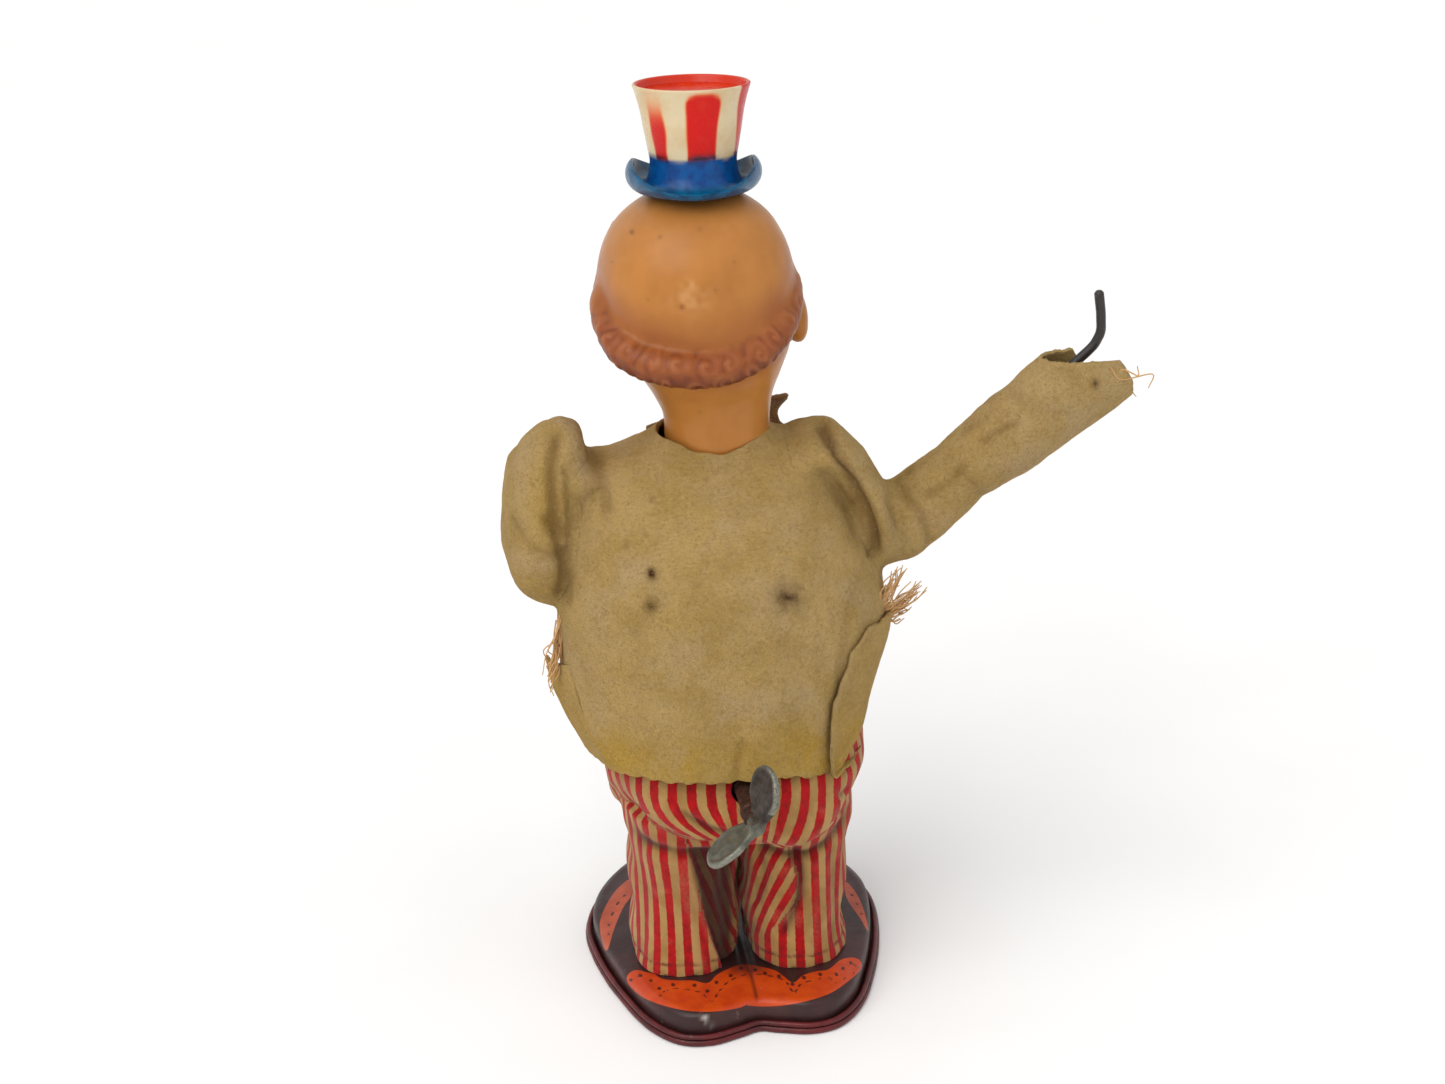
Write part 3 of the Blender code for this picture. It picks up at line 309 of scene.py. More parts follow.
def normals(v, faces):
    faces = list(faces)
    tri = []
    for f in faces:
        for k in range(1, len(f) - 1):
            tri.append((f[0], f[k], f[k + 1]))
    t = np.array(tri)
    n = np.cross(v[t[:, 1]] - v[t[:, 0]], v[t[:, 2]] - v[t[:, 0]])
    out = np.zeros_like(v)
    for k in range(3):
        for c in range(3):
            out[:, c] += np.bincount(t[:, k], n[:, c], minlength=len(v))
    return out / np.maximum(np.linalg.norm(out, axis=1), 1e-12)[:, None]


def edges_of(faces):
    e = []
    for f in faces:
        e += list(zip(f, f[1:] + f[:1]))
    return np.array(e)


def relax(v, faces, rounds=2, amount=0.5, keep=None):
    """Smooths a mesh: a step towards each point's neighbours, then a smaller step back, so that it keeps its size."""
    e = edges_of(faces)
    s = np.sort(e, axis=1)
    s = np.unique(s, axis=0)
    count = np.bincount(s.ravel(), minlength=len(v)).astype(float)
    for step in [amount, -amount * 1.02] * rounds:
        acc = np.zeros_like(v)
        for c in range(3):
            acc[:, c] = np.bincount(s[:, 0], v[s[:, 1], c], minlength=len(v)) + np.bincount(s[:, 1], v[s[:, 0], c], minlength=len(v))
        mean = acc / np.maximum(count, 1)[:, None]
        move = (mean - v) * step
        if keep is not None:
            move[keep] = 0
        v = v + move
    return v


def spread(values, faces, n, rounds):
    """The values evened out over the mesh."""
    s = np.unique(np.sort(edges_of(faces), axis=1), axis=0)
    count = np.bincount(s.ravel(), minlength=n).astype(float)
    for _ in range(rounds):
        acc = np.bincount(s[:, 0], values[s[:, 1]], minlength=n) + np.bincount(s[:, 1], values[s[:, 0]], minlength=n)
        values = 0.5 * values + 0.5 * acc / np.maximum(count, 1)
    return values


def clip(v, faces, s, extra=None):
    """Keeps the part of the mesh where s < 0, cut exactly along s = 0. extra is {name: values}, carried over."""
    v = np.asarray(v, float)
    names = list(extra or {})
    new_v, new_x, cache = [], {k: [] for k in names}, {}
    n = len(v)
    out = []
    s = np.where(np.abs(s) < 1e-7, 1e-7, s)
    for f in faces:
        signs = [s[i] < 0 for i in f]
        if all(signs):
            out.append(f)
            continue
        if not any(signs):
            continue
        poly = []
        m = len(f)
        for k in range(m):
            i, j = f[k], f[(k + 1) % m]
            if signs[k]:
                poly.append(i)
            if signs[k] != signs[(k + 1) % m]:
                key = (min(i, j), max(i, j))
                if key not in cache:
                    a, b = key
                    t = s[a] / (s[a] - s[b])
                    cache[key] = n + len(new_v)
                    new_v.append(v[a] + (v[b] - v[a]) * t)
                    for name in names:
                        new_x[name].append(extra[name][a] + (extra[name][b] - extra[name][a]) * t)
                poly.append(cache[key])
        if len(poly) >= 3:
            out.append(tuple(poly))
    if new_v:
        v = np.vstack([v, new_v])
        extra = {k: np.concatenate([extra[k], np.array(new_x[k])]) for k in names}
    used = np.unique(np.concatenate([np.array(f) for f in out]))
    remap = np.full(len(v), -1)
    remap[used] = np.arange(len(used))
    out = [tuple(int(remap[i]) for i in f) for f in out]
    return v[used], out, {k: extra[k][used] for k in names}


def largest(v, faces, extra):
    """The biggest connected part only, so that a cut leaves no crumbs."""
    e = edges_of(faces)
    label = np.arange(len(v))
    while True:
        low = label.copy()
        np.minimum.at(low, e[:, 0], label[e[:, 1]])
        np.minimum.at(low, e[:, 1], label[e[:, 0]])
        low = low[low]
        if (low == label).all():
            break
        label = low
    best = np.bincount(label).argmax()
    out = [f for f in faces if label[f[0]] == best]
    used = np.unique(np.concatenate([np.array(f) for f in out]))
    remap = np.full(len(v), -1)
    remap[used] = np.arange(len(used))
    return v[used], [tuple(int(remap[i]) for i in f) for f in out], {k: x[used] for k, x in extra.items()}


def rim_edges(faces):
    e = edges_of(faces)
    s = np.sort(e, axis=1)
    _, first, count = np.unique(s, axis=0, return_index=True, return_counts=True)
    return e[first[count == 1]]


def thicken(v, faces, extra, thick, fray=0.0, seed=5):
    """Gives a sheet its thickness, inwards, with a closed rim. Adds the value 'lining', 1 on the inside."""
    n = normals(v, faces)
    t = np.full(len(v), thick)
    rim = rim_edges(faces)
    if fray:
        t[np.unique(rim)] *= 0.72
    inner = v - n * t[:, None]
    m = len(v)
    out = list(faces) + [tuple(i + m for i in reversed(f)) for f in faces]
    out += [(int(b), int(a), int(a) + m, int(b) + m) for a, b in rim]
    lining = np.concatenate([np.zeros(m), np.ones(m)])
    edge = np.zeros(m)
    edge[np.unique(rim)] = 1
    edge = spread(edge, faces, m, 3)
    extra = {k: np.concatenate([x, x]) for k, x in extra.items()}
    extra["lining"] = lining
    extra["edge"] = np.concatenate([edge, edge])
    return np.vstack([v, inner]), out, extra


def build(name, v, faces, extra=None, mat=None, angle=None):
    """A mesh object from millimetres, with its resting place and any values as attributes."""
    v = np.asarray(v, float)
    faces = as_faces(faces)
    me = bpy.data.meshes.new(name)
    me.from_pydata((v * MM).tolist(), [], faces)
    me.validate()
    extra = dict(extra or {})
    if len(me.vertices) == len(v):
        a = me.attributes.new("rest", "FLOAT_VECTOR", "POINT")
        a.data.foreach_set("vector", v.ravel().astype(np.float32))
        for key, x in extra.items():
            a = me.attributes.new(key, "FLOAT", "POINT")
            a.data.foreach_set("value", np.asarray(x, np.float32))
    me.shade_smooth()
    if angle is not None:
        me.set_sharp_from_angle(angle=math.radians(angle))
    obj = bpy.data.objects.new(name, me)
    bpy.context.scene.collection.objects.link(obj)
    if mat is not None:
        me.materials.append(mat)
    return obj


def sheet_grid(rows, close=False):
    """Quads over a grid of points, rows by columns."""
    rows = np.asarray(rows, float)
    r, c = rows.shape[:2]
    faces = []
    for i in range(r - 1):
        for j in range(c if close else c - 1):
            k = (j + 1) % c
            faces.append((i * c + j, i * c + k, (i + 1) * c + k, (i + 1) * c + j))
    return rows.reshape(-1, 3), faces


def tube(path, radii, sides=10, caps=True):
    """A round tube along a path, with rounded ends."""
    path = np.asarray(path, float)
    radii = np.full(len(path), radii, float) if np.isscalar(radii) else np.asarray(radii, float)
    tangent = np.gradient(path, axis=0)
    tangent /= np.maximum(np.linalg.norm(tangent, axis=1), 1e-9)[:, None]
    up = np.array((0.0, 0.0, 1.0)) if abs(tangent[0][2]) < 0.9 else np.array((1.0, 0.0, 0.0))
    rows = []
    side = np.cross(tangent[0], up)
    side /= np.linalg.norm(side)
    for i in range(len(path)):
        side = side - tangent[i] * (side @ tangent[i])
        side /= max(np.linalg.norm(side), 1e-9)
        other = np.cross(tangent[i], side)
        a = 2 * np.pi * np.arange(sides) / sides
        ring = np.cos(a)[:, None] * side + np.sin(a)[:, None] * other
        if caps and i == 0:
            rows.append(path[i] - tangent[i] * radii[i] * 0.5 + ring * radii[i] * 0.6)
        rows.append(path[i] + ring * radii[i])
        if caps and i == len(path) - 1:
            rows.append(path[i] + tangent[i] * radii[i] * 0.5 + ring * radii[i] * 0.6)
    v, faces = sheet_grid(rows, close=True)
    faces = [tuple(reversed(f)) for f in faces]
    n = len(rows)
    faces.append(tuple(range(sides)))
    faces.append(tuple(reversed(range((n - 1) * sides, n * sides))))
    return v, faces


def outward(v, faces):
    """Turns every face round if the mesh as a whole is inside out."""
    tri = np.array([(f[0], f[k], f[k + 1]) for f in faces for k in range(1, len(f) - 1)])
    if np.einsum("ij,ij->i", v[tri[:, 0]], np.cross(v[tri[:, 1]], v[tri[:, 2]])).sum() < 0:
        return [tuple(reversed(f)) for f in faces]
    return faces


def joined(parts):
    """Several (points, faces, extra) as one."""
    vs, fs, base = [], [], 0
    names = sorted(set().union(*[set(p[2]) for p in parts]))
    extra = {k: [] for k in names}
    for v, f, x in parts:
        vs.append(v)
        fs += [tuple(i + base for i in g) for g in f]
        base += len(v)
        for k in names:
            extra[k].append(x.get(k, np.zeros(len(v))))
    return np.vstack(vs), fs, {k: np.concatenate(x) for k, x in extra.items()}


# ---------------------------------------------------------------- materials
def rgb(r, g, b):
    """A linear colour from one given in the usual 0-255 way."""
    out = []
    for c in (r, g, b):
        c /= 255
        out.append(c / 12.92 if c <= 0.04045 else ((c + 0.055) / 1.055) ** 2.4)
    return (*out, 1.0)


class Look:
    """A node material: small helpers that return sockets."""

    def __init__(self, name, cad=False, **settings):
        self.mat = bpy.data.materials.new(name)
        self.mat.use_nodes = True
        self.tree = self.mat.node_tree
        self.bsdf = self.tree.nodes["Principled BSDF"]
        for key, value in settings.items():
            self.bsdf.inputs[key.replace("_", " ")].default_value = value
        if cad:
            tc = self.tree.nodes.new("ShaderNodeTexCoord")
            m = self.tree.nodes.new("ShaderNodeMapping")
            m.inputs["Scale"].default_value = (1000, 1000, 1000)
            self.tree.links.new(tc.outputs["Object"], m.inputs["Vector"])
            self.place = m.outputs["Vector"]
        else:
            a = self.tree.nodes.new("ShaderNodeAttribute")
            a.attribute_name = "rest"
            self.place = a.outputs["Vector"]

    def put(self, socket, value):
        if isinstance(value, bpy.types.NodeSocket):
            self.tree.links.new(value, socket)
        else:
            socket.default_value = value

    def attr(self, name):
        n = self.tree.nodes.new("ShaderNodeAttribute")
        n.attribute_name = name
        return n.outputs["Fac"]

    def math(self, op, a, b=0.0, c=0.0, clamp=False):
        n = self.tree.nodes.new("ShaderNodeMath")
        n.operation = op
        n.use_clamp = clamp
        self.put(n.inputs[0], a)
        self.put(n.inputs[1], b)
        if len(n.inputs) > 2:
            self.put(n.inputs[2], c)
        return n.outputs[0]

    def scaled(self, scale, vector=None):
        m = self.tree.nodes.new("ShaderNodeMapping")
        m.inputs["Scale"].default_value = scale if hasattr(scale, "__len__") else (scale,) * 3
        self.tree.links.new(vector or self.place, m.inputs["Vector"])
        return m.outputs["Vector"]

    def noise(self, size, detail=3.0, rough=0.55, vector=None, stretch=(1, 1, 1), distortion=0.0):
        """Noise about 0.5, with bumps about size millimetres across."""
        n = self.tree.nodes.new("ShaderNodeTexNoise")
        n.inputs["Scale"].default_value = 1.0
        n.inputs["Detail"].default_value = detail
        n.inputs["Roughness"].default_value = rough
        n.inputs["Distortion"].default_value = distortion
        self.tree.links.new(self.scaled(tuple(s / size for s in stretch), vector), n.inputs["Vector"])
        return n.outputs["Fac"]

    def cells(self, size, feature="F1", vector=None, stretch=(1, 1, 1)):
        n = self.tree.nodes.new("ShaderNodeTexVoronoi")
        n.feature = feature
        n.inputs["Scale"].default_value = 1.0
        self.tree.links.new(self.scaled(tuple(s / size for s in stretch), vector), n.inputs["Vector"])
        return n.outputs["Distance"]

    def ramp(self, value, low, high, a=0.0, b=1.0):
        n = self.tree.nodes.new("ShaderNodeMapRange")
        n.interpolation_type = "SMOOTHSTEP"
        self.put(n.inputs["Value"], value)
        n.inputs["From Min"].default_value = low
        n.inputs["From Max"].default_value = high
        n.inputs["To Min"].default_value = a
        n.inputs["To Max"].default_value = b
        return n.outputs["Result"]

    def mix(self, fac, a, b, blend="MIX"):
        n = self.tree.nodes.new("ShaderNodeMix")
        n.data_type = "RGBA"
        n.blend_type = blend
        n.clamp_factor = True
        self.put(n.inputs["Factor"], fac)
        self.put(n.inputs[6], a)
        self.put(n.inputs[7], b)
        return n.outputs[2]

    def bump(self, *layers):
        """Layers of (height 0 to 1, millimetres)."""
        normal = None
        for height, depth in layers:
            n = self.tree.nodes.new("ShaderNodeBump")
            n.inputs["Strength"].default_value = 1.0
            n.inputs["Distance"].default_value = depth * MM
            self.put(n.inputs["Height"], height)
            if normal is not None:
                self.tree.links.new(normal, n.inputs["Normal"])
            normal = n.outputs["Normal"]
        self.tree.links.new(normal, self.bsdf.inputs["Normal"])

    def done(self, colour=None, roughness=None, metallic=None):
        if colour is not None:
            self.put(self.bsdf.inputs["Base Color"], colour)
        if roughness is not None:
            self.put(self.bsdf.inputs["Roughness"], roughness)
        if metallic is not None:
            self.put(self.bsdf.inputs["Metallic"], metallic)
        return self.mat


# ---------------------------------------------------------------- cloth: one garment skin, cut into body and sleeves
THREAD = rgb(196, 158, 104)


def felt_look(name, yellow=0.0):
    k = Look(name, Sheen_Weight=0.12, Sheen_Roughness=0.5, Specular_IOR_Level=0.1)
    k.bsdf.inputs["Sheen Tint"].default_value = rgb(225, 195, 150)
    big, mid, fine = k.noise(13.0, 3, 0.6), k.noise(3.2, 4, 0.65), k.noise(0.55, 3, 0.7)
    fibre = k.noise(0.34, 4, 0.75, stretch=(1.0, 1.0, 2.2), distortion=0.6)
    colour = k.mix(k.ramp(big, 0.36, 0.66), rgb(206, 172, 110), rgb(190, 156, 90))
    grain, clump = k.noise(0.95, 3, 0.75, distortion=0.5), k.noise(2.2, 3, 0.7)
    colour = k.mix(k.math("MULTIPLY", k.ramp(mid, 0.45, 0.72), 0.45), colour, rgb(194, 166, 118))
    colour = k.mix(k.math("MULTIPLY", k.attr("yellow"), k.ramp(mid, 0.3, 0.6, 0.55, 1.0)), colour, rgb(202, 160, 62))
    colour = k.mix(k.math("MULTIPLY", k.attr("nap"), k.ramp(grain, 0.3, 0.7, 0.4, 0.95)), colour, rgb(204, 176, 140))
    # painted shade: 'hollow' darkens the felt to deep brown in its creases and recesses
    colour = k.mix(k.math("MULTIPLY", k.attr("hollow"), 0.72), colour, rgb(112, 76, 38))
    colour = k.mix(k.math("MULTIPLY", k.ramp(fine, 0.46, 0.28), 0.5), colour, rgb(136, 104, 58))
    colour = k.mix(k.math("MULTIPLY", k.ramp(fibre, 0.56, 0.74), 0.4), colour, rgb(214, 190, 142))
    colour = k.mix(k.math("MULTIPLY", k.ramp(grain, 0.50, 0.30), 0.36), colour, rgb(146, 110, 58))
    colour = k.mix(k.math("MULTIPLY", k.ramp(grain, 0.54, 0.72), 0.38), colour, rgb(216, 190, 138))
    colour = k.mix(k.math("MULTIPLY", k.ramp(clump, 0.52, 0.70), 0.22), colour, rgb(140, 108, 52))
    colour = k.mix(k.math("MULTIPLY", k.math("MULTIPLY", k.attr("stain"), 1.7), k.ramp(fine, 0.25, 0.55, 0.5, 1.0)), colour, rgb(66, 36, 18))
    colour = k.mix(k.math("MULTIPLY", k.attr("lining"), 0.12), colour, rgb(120, 90, 50))
    colour = k.mix(k.math("MULTIPLY", k.attr("edge"), 0.35), colour, rgb(214, 184, 120))
    z = k.tree.nodes.new("ShaderNodeSeparateXYZ")
    k.tree.links.new(k.place, z.inputs[0])
    wave = k.math("SINE", k.math("MULTIPLY", k.math("ADD", z.outputs[2], k.math("MULTIPLY", k.noise(6.0, 2), 1.6)), 2 * math.pi / 0.95))
    rib = k.math("MULTIPLY", k.math("MULTIPLY_ADD", wave, 0.5, 0.5), k.attr("ribs"))
    k.bump((k.noise(1.7, 4, 0.75), 0.95), (grain, 0.55), (fibre, 0.6), (rib, 0.06))
    return k.done(colour, k.ramp(fine, 0.2, 0.8, 0.86, 1.0))


FELT = felt_look("mustard_felt")


def thread_look():
    k = Look("straw_thread", Roughness=0.7)
    return k.done(k.mix(k.noise(0.9, 3), rgb(216, 176, 120), rgb(170, 122, 72)))


STRAW = thread_look()

SHIRT = [
    (66.0, 0.9, 35.0, -33.2, 38.4),
    (72.0, 1.2, 36.6, -34.2, 38.4),
    (77.0, 1.5, 38.0, -35.0, 38.2),
    (88.0, 1.6, 41.0, -36.5, 38.0),
    (104.0, 0.0, 44.3, -37.0, 37.0),
    (118.0, 0.6, 43.6, -34.5, 35.5),
    (130.0, 2.3, 39.4, -30.0, 32.5),
    (141.0, 3.4, 35.4, -25.5, 28.6),
    (148.0, 3.2, 32.0, -21.0, 23.8),
    (152.0, 2.2, 27.6, -18.4, 19.8),
    (155.0, 0.6, 22.0, -16.4, 16.4),
    (158.0, 0.0, 16.8, -15.0, 13.8),
    (161.0, -0.4, 13.4, -13.6, 11.8),
]
PUFF = [
    (116.0, 44.8, 4.2, -4.0, 6.5),
    (118.8, 45.2, 7.6, -7.4, 9.4),
    (123.2, 45.6, 9.9, -11.5, 13.5),
    (130.5, 45.6, 11.2, -15.0, 16.6),
    (139.5, 45.6, 11.4, -16.0, 17.8),
    (148.5, 45.0, 10.8, -15.0, 16.8),
    (156.5, 42.8, 9.2, -12.5, 14.2),
    (162.0, 40.6, 6.4, -8.4, 9.4),
    (165.0, 39.4, 3.4, -4.4, 5.2),
]
R_ROLL = [(-17, 1, 151.0), (-24, 1.5, 152.8), (-30.0, 2, 153.0), (-35.5, 1.5, 147.2), (-40.0, 1, 139.5), (-42.2, 0.5, 131), (-42.6, -1, 124)]
R_FORE = [(-42, -2.6, 124.5), (-50, -2.6, 126.6), (-58, -1.8, 133.2), (-67, 0.2, 141.2), (-78, 1.8, 149.6), (-91, 3.6, 159.6), (-104.3, 4.8, 169.6), (-118, 6.0, 179.6)]
R_RAD = [9.6, 10.4, 10.0, 9.3, 10.8, 11.8, 12.3, 12.5]
L_FORE = [(46.2, -8, 131), (46.4, -17.5, 131.2), (46.4, -26, 131.2), (45.6, -34, 131.6), (44.9, -44, 132.4), (44.2, -54, 133.4)]
L_RAD = [10.0, 10.2, 9.9, 9.8, 10.2, 10.6]


def right_sleeve_field(p):
    roll = tube_field(p, R_ROLL, (4.6, 5.8, 6.2, 6.0, 5.8, 5.8, 5.4), (1, 0.42, 1))
    return smin(roll, tube_field(p, R_FORE, R_RAD), 5.0)


def left_sleeve_field(p):
    puff = ring_field(p, PUFF, 2.2)
    return smin(puff, tube_field(p, L_FORE, L_RAD), 5.0)


def torso_field(p):
    body = ring_field(p, SHIRT)
    return smin(body, tube_field(p, [(12, 1, 155.6), (17, 1, 153.2), (26, 1, 151.2), (37, 1, 151.0)], (3.8, 4.4, 4.6, 4.6), (1, 0.36, 1)), 4.0)


def garment():
    g, low, step = grid((-121, -60, 70), (61, 43, 172), 0.95)
    torso = torso_field(g)
    field = smin(smin(torso, right_sleeve_field(g), 3.2), left_sleeve_field(g), 3.0)
    v, quads = skin(field, low, step)
    faces = as_faces(quads)
    v = relax(v, faces, 3, 0.6)
    n = normals(v, faces)
    uv, seen = view_uv(v), facing(v, n)
    move = np.zeros(len(v))
    hollow = np.zeros(len(v))

    def fold(points, depth, width, dark=0.0, mask=None):
        nonlocal move, hollow
        d = polyline(uv, curve(points, 6) if len(points) > 2 else points)[0]
        w = np.exp(-((d / width) ** 2)) * (seen if mask is None else seen * mask)
        move = move - depth * w
        # the dark amount is painted shade along the fold, gathered into 'hollow'
        hollow = np.maximum(hollow, dark * np.exp(-((d / (width * 0.8)) ** 2)) * seen)

    sleeve = smooth(-2.0, 2.0, torso_field(v) - right_sleeve_field(v))
    # right shoulder: the roll and the deep crease beside it
    fold([(822, 426), (830, 440), (845, 468), (860, 500), (870, 524), (875, 552)], 2.7, 6.5, 0.9)
    fold([(812, 416), (834, 424), (854, 448), (872, 480), (886, 512), (892, 540)], -0.9, 9.0)
    fold([(886, 462), (900, 488), (918, 512), (930, 540)], 0.9, 5.0, 0.3)
    fold([(884, 500), (896, 520), (905, 542)], 0.7, 4.0, 0.25)
    fold([(904, 470), (915, 452), (928, 436), (944, 424)], 1.3, 5.0, 0.5)
    fold([(926, 496), (944, 486), (962, 470)], 1.0, 5.5, 0.3)
    fold([(960, 476), (975, 488), (988, 500)], 0.6, 5.0, 0.15)
    fold([(984, 442), (998, 431), (1014, 424)], 0.8, 3.6, 0.3)
    fold([(962, 432), (972, 424), (985, 419)], 0.6, 4.0, 0.2)
    fold([(1035, 365), (1060, 372), (1082, 386)], 0.5, 7.0, 0.1)
    fold([(1010, 395), (1040, 412), (1064, 418)], 0.5, 8.0, 0.1)
    # left puff: hanging ridge, crease, hollow beneath
    fold([(556, 438), (552, 460), (552, 486), (556, 512), (562, 534)], 2.0, 6.5, 0.6)
    fold([(560, 424), (574, 440), (583, 470), (586, 505)], -1.0, 9.0)
    fold([(596, 452), (602, 478), (604, 505)], 1.2, 8.0, 0.35)
    fold([(528, 440), (520, 470), (520, 505), (528, 540)], -0.7, 12.0)
    fold([(512, 520), (528, 545), (548, 556), (566, 556)], 1.3, 7.0, 0.25)
    fold([(548, 520), (560, 548), (564, 574), (560, 594)], 1.6, 6.0, 0.75)
    fold([(566, 470), (571, 520), (570, 566), (568, 600)], 1.0, 5.0, 0.35)
    # back panel: soft hanging folds, the dip by the neck, the pull at the key
    fold([(600, 455), (640, 452), (668, 458)], 0.5, 10.0, 0.15)
    fold([(604, 600), (598, 660), (600, 720)], -0.7, 18.0)
    fold([(640, 620), (636, 690), (648, 760)], 0.6, 15.0, 0.06)
    fold([(700, 640), (704, 700), (700, 760)], -0.4, 16.0)
    fold([(790, 640), (800, 700), (796, 760)], 0.5, 14.0, 0.05)
    fold([(742, 745), (738, 765), (736, 782)], 0.8, 4.0, 0.35)
    fold([(862, 575), (848, 620), (840, 680), (832, 740)], 0.5, 5.0, 0.2)
    # the side that isn't seen gets folds of its own
    hid = 1 - np.clip(seen * 1.6, 0, 1)
    a = np.arctan2(v[:, 1], v[:, 0])
    drape = np.sin(a * 9 + 1.7 * noise(v, 22, 31) * 2) * smooth(150, 92, v[:, 2])
    move += 0.55 * drape * hid * (1 - sleeve)
    move += 0.9 * fbm(v, 16, 3, 3) * (0.35 + 0.65 * smooth(0, 12, np.abs(v[:, 0]) - 30)) + 0.30 * fbm(v, 5.0, 11, 3) + 0.12 * noise(v, 1.9, 17)
    arm = smooth(-60, -80, v[:, 0])
    move += arm * 0.5 * np.sin((v[:, 0] * 0.83 - v[:, 2] * 0.55) / 4.1 + 2.4 * noise(v, 13, 41)) * (0.4 + 0.6 * noise(v, 9, 43) ** 2)
    neck = smooth(20, 15, np.hypot(v[:, 0], v[:, 1])) * smooth(150, 155, v[:, 2])
    v = v + n * (move * (1 - 0.8 * neck))[:, None]
    v = relax(v, faces, 1, 0.3)

    flat = smooth(150, 180, v @ np.array((-0.831, 0.0, 0.556)))
    v[:, 1] = v[:, 1] + (4.8 - v[:, 1]) * 0.42 * flat
    uv = view_uv(v)
    x, y, z = v.T
    rear = smooth(-5, 12, y)
    extra = {}
    hem_band = smooth(94, 76, z + 3 * noise(v, 9, 51))
    inner_puff = np.exp(-(((uv[:, 0] - 545) / 16) ** 2 + ((uv[:, 1] - 500) / 48) ** 2)) * seen
    extra["yellow"] = np.clip(hem_band * (0.75 + 0.5 * noise(v, 7, 53)) + 0.55 * inner_puff + 0.25 * smooth(0.1, 0.7, fbm(v, 17, 57)) + 0.35 * smooth(1, 0, np.hypot((uv[:, 0] - 800) / 40, (uv[:, 1] - 745) / 40)), 0, 1)
    stain = 0.0
    for cx, cy, r, amount in ((652, 574, 7, 0.85), (651, 606, 8, 0.75), (789, 597, 15, 0.6), (783, 592, 5, 0.5), (1095, 384, 5, 0.5), (652, 500, 4, 0.2), (626, 545, 4, 0.25)):
        d = np.hypot((uv[:, 0] - cx) * (1.25 if r < 10 else 1.0), uv[:, 1] - cy) / r
        stain = np.maximum(stain, amount * np.exp(-(d**2)) * (0.75 + 0.5 * noise(v, 1.6, 61)))
    extra["stain"] = np.clip(stain * seen, 0, 1)
    # painted shade: the folds' dark lines, plus darkening wherever the cloth was pushed in
    extra["hollow"] = np.clip(spread(hollow, faces, len(v), 2) + 0.5 * smooth(0.2, 2.0, -move) * (1 - hollow), 0, 1)
    extra["nap"] = np.clip(smooth(0.25, 1.5, move) * 0.55 + smooth(0.0, 0.6, fbm(v, 12, 71)) * 0.55 + 0.2 * arm, 0, 1)
    extra["ribs"] = smooth(118, 136, z) * rear * (np.abs(x) < 33) * 0.9

    # cut the neck, hem and cuffs
    rho = np.hypot(x, y + 0.2)
    ang = np.arctan2(y, x)
    neckline = 14.8 + 0.10 * np.sin(ang * 11 + 2) + 0.18 * noise(v, 2.0, 81)
    hemline = 74.2 + np.interp(x, [-34, -30, -23, -12, 0, 25, 31, 36, 40], [-6.6, -6.2, -4.4, -0.9, 0, 0.3, -0.8, -2.6, -3.6]) * rear + 2.6 * (1 - rear) + 0.35 * noise(v, 2.2, 83) + 0.25 * np.sin(ang * 46)
    cuff = np.array((-0.831, 0.0, 0.556))
    outer_u = np.interp(uv[:, 1], [676, 697, 726, 756, 778], [874, 866, 856, 844, 832])
    bare = np.where((x < -14) & (y > 2) & (uv[:, 1] > 680), (uv[:, 0] - outer_u + 2.5) / 3.7, -9.0)
    bare = np.maximum(bare, np.where((x < -24) & (y <= 2), 84.6 + 0.3 * noise(v, 2.2, 89) - z, -9.0))
    s = np.minimum(neckline - rho, z - 147.0)
    s = np.maximum(np.maximum(s, hemline - z), bare)
    s = np.maximum(s, v @ cuff - 181.0 - 0.55 * (y - 4.8) - 0.25 * noise(v, 2.0, 85))
    s = np.maximum(s, np.where(x > 25, -50.2 - y + 0.2 * noise(v, 2.0, 87), -50.0))
    v, faces, extra = clip(v, faces, s, extra)
    return largest(v, faces, extra)


gv, gf, gx = garment()
# part the skin into its three pieces along the armholes
torso_d, right_d, left_d = torso_field(gv), right_sleeve_field(gv), left_sleeve_field(gv)
lift = 0.8 * noise(gv, 9, 91)
gx["split_r"] = right_d - torso_d + lift * 0.4
gx["split_l"] = left_d - torso_d + lift * 0.4
far = 40.0
gx["split_r"] = np.where(gv[:, 0] > -18, far, gx["split_r"])
gx["split_l"] = np.where(gv[:, 0] < 24, far, gx["split_l"])
pieces = {}
pieces["right"] = largest(*clip(gv, gf, gx["split_r"], gx))
v, f, x = clip(gv, gf, -gx["split_r"], gx)
pieces["left"] = largest(*clip(v, f, x["split_l"], x))
pieces["body"] = largest(*clip(v, f, -x["split_l"], x))


def measure(obj):
    me = obj.data
    return sum(p.area for p in me.polygons)


def cloth(name, part, thick, mat):
    v, f, x = part
    x = {k: a for k, a in x.items() if not k.startswith("split")}
    v, f, x = thicken(v, f, x, thick)
    obj = build(name, v, f, x, mat)
    print("cloth", name, len(v), "half area m2", round(measure(obj) / 2, 5))
    return obj


shirt = cloth("shirt_body", pieces["body"], 1.25, FELT)
sleeve_r = cloth("sleeve_right", pieces["right"], 1.15, FELT)
sleeve_l = cloth("sleeve_left", pieces["left"], 1.15, FELT)


# side flaps of the back seams, lying over the back panel
def around(phi, z, off):
    cx, hx, front, rear = rings_at(SHIRT, z)
    c, s = np.cos(phi), np.sin(phi)
    px = cx + (hx + off) * np.sign(c) * np.abs(c) ** (2 / 2.3)
    py = np.where(s > 0, rear + off, -front + off) * np.sign(s) * np.abs(s) ** (2 / 2.3)
    return np.stack([px, py, z], -1)


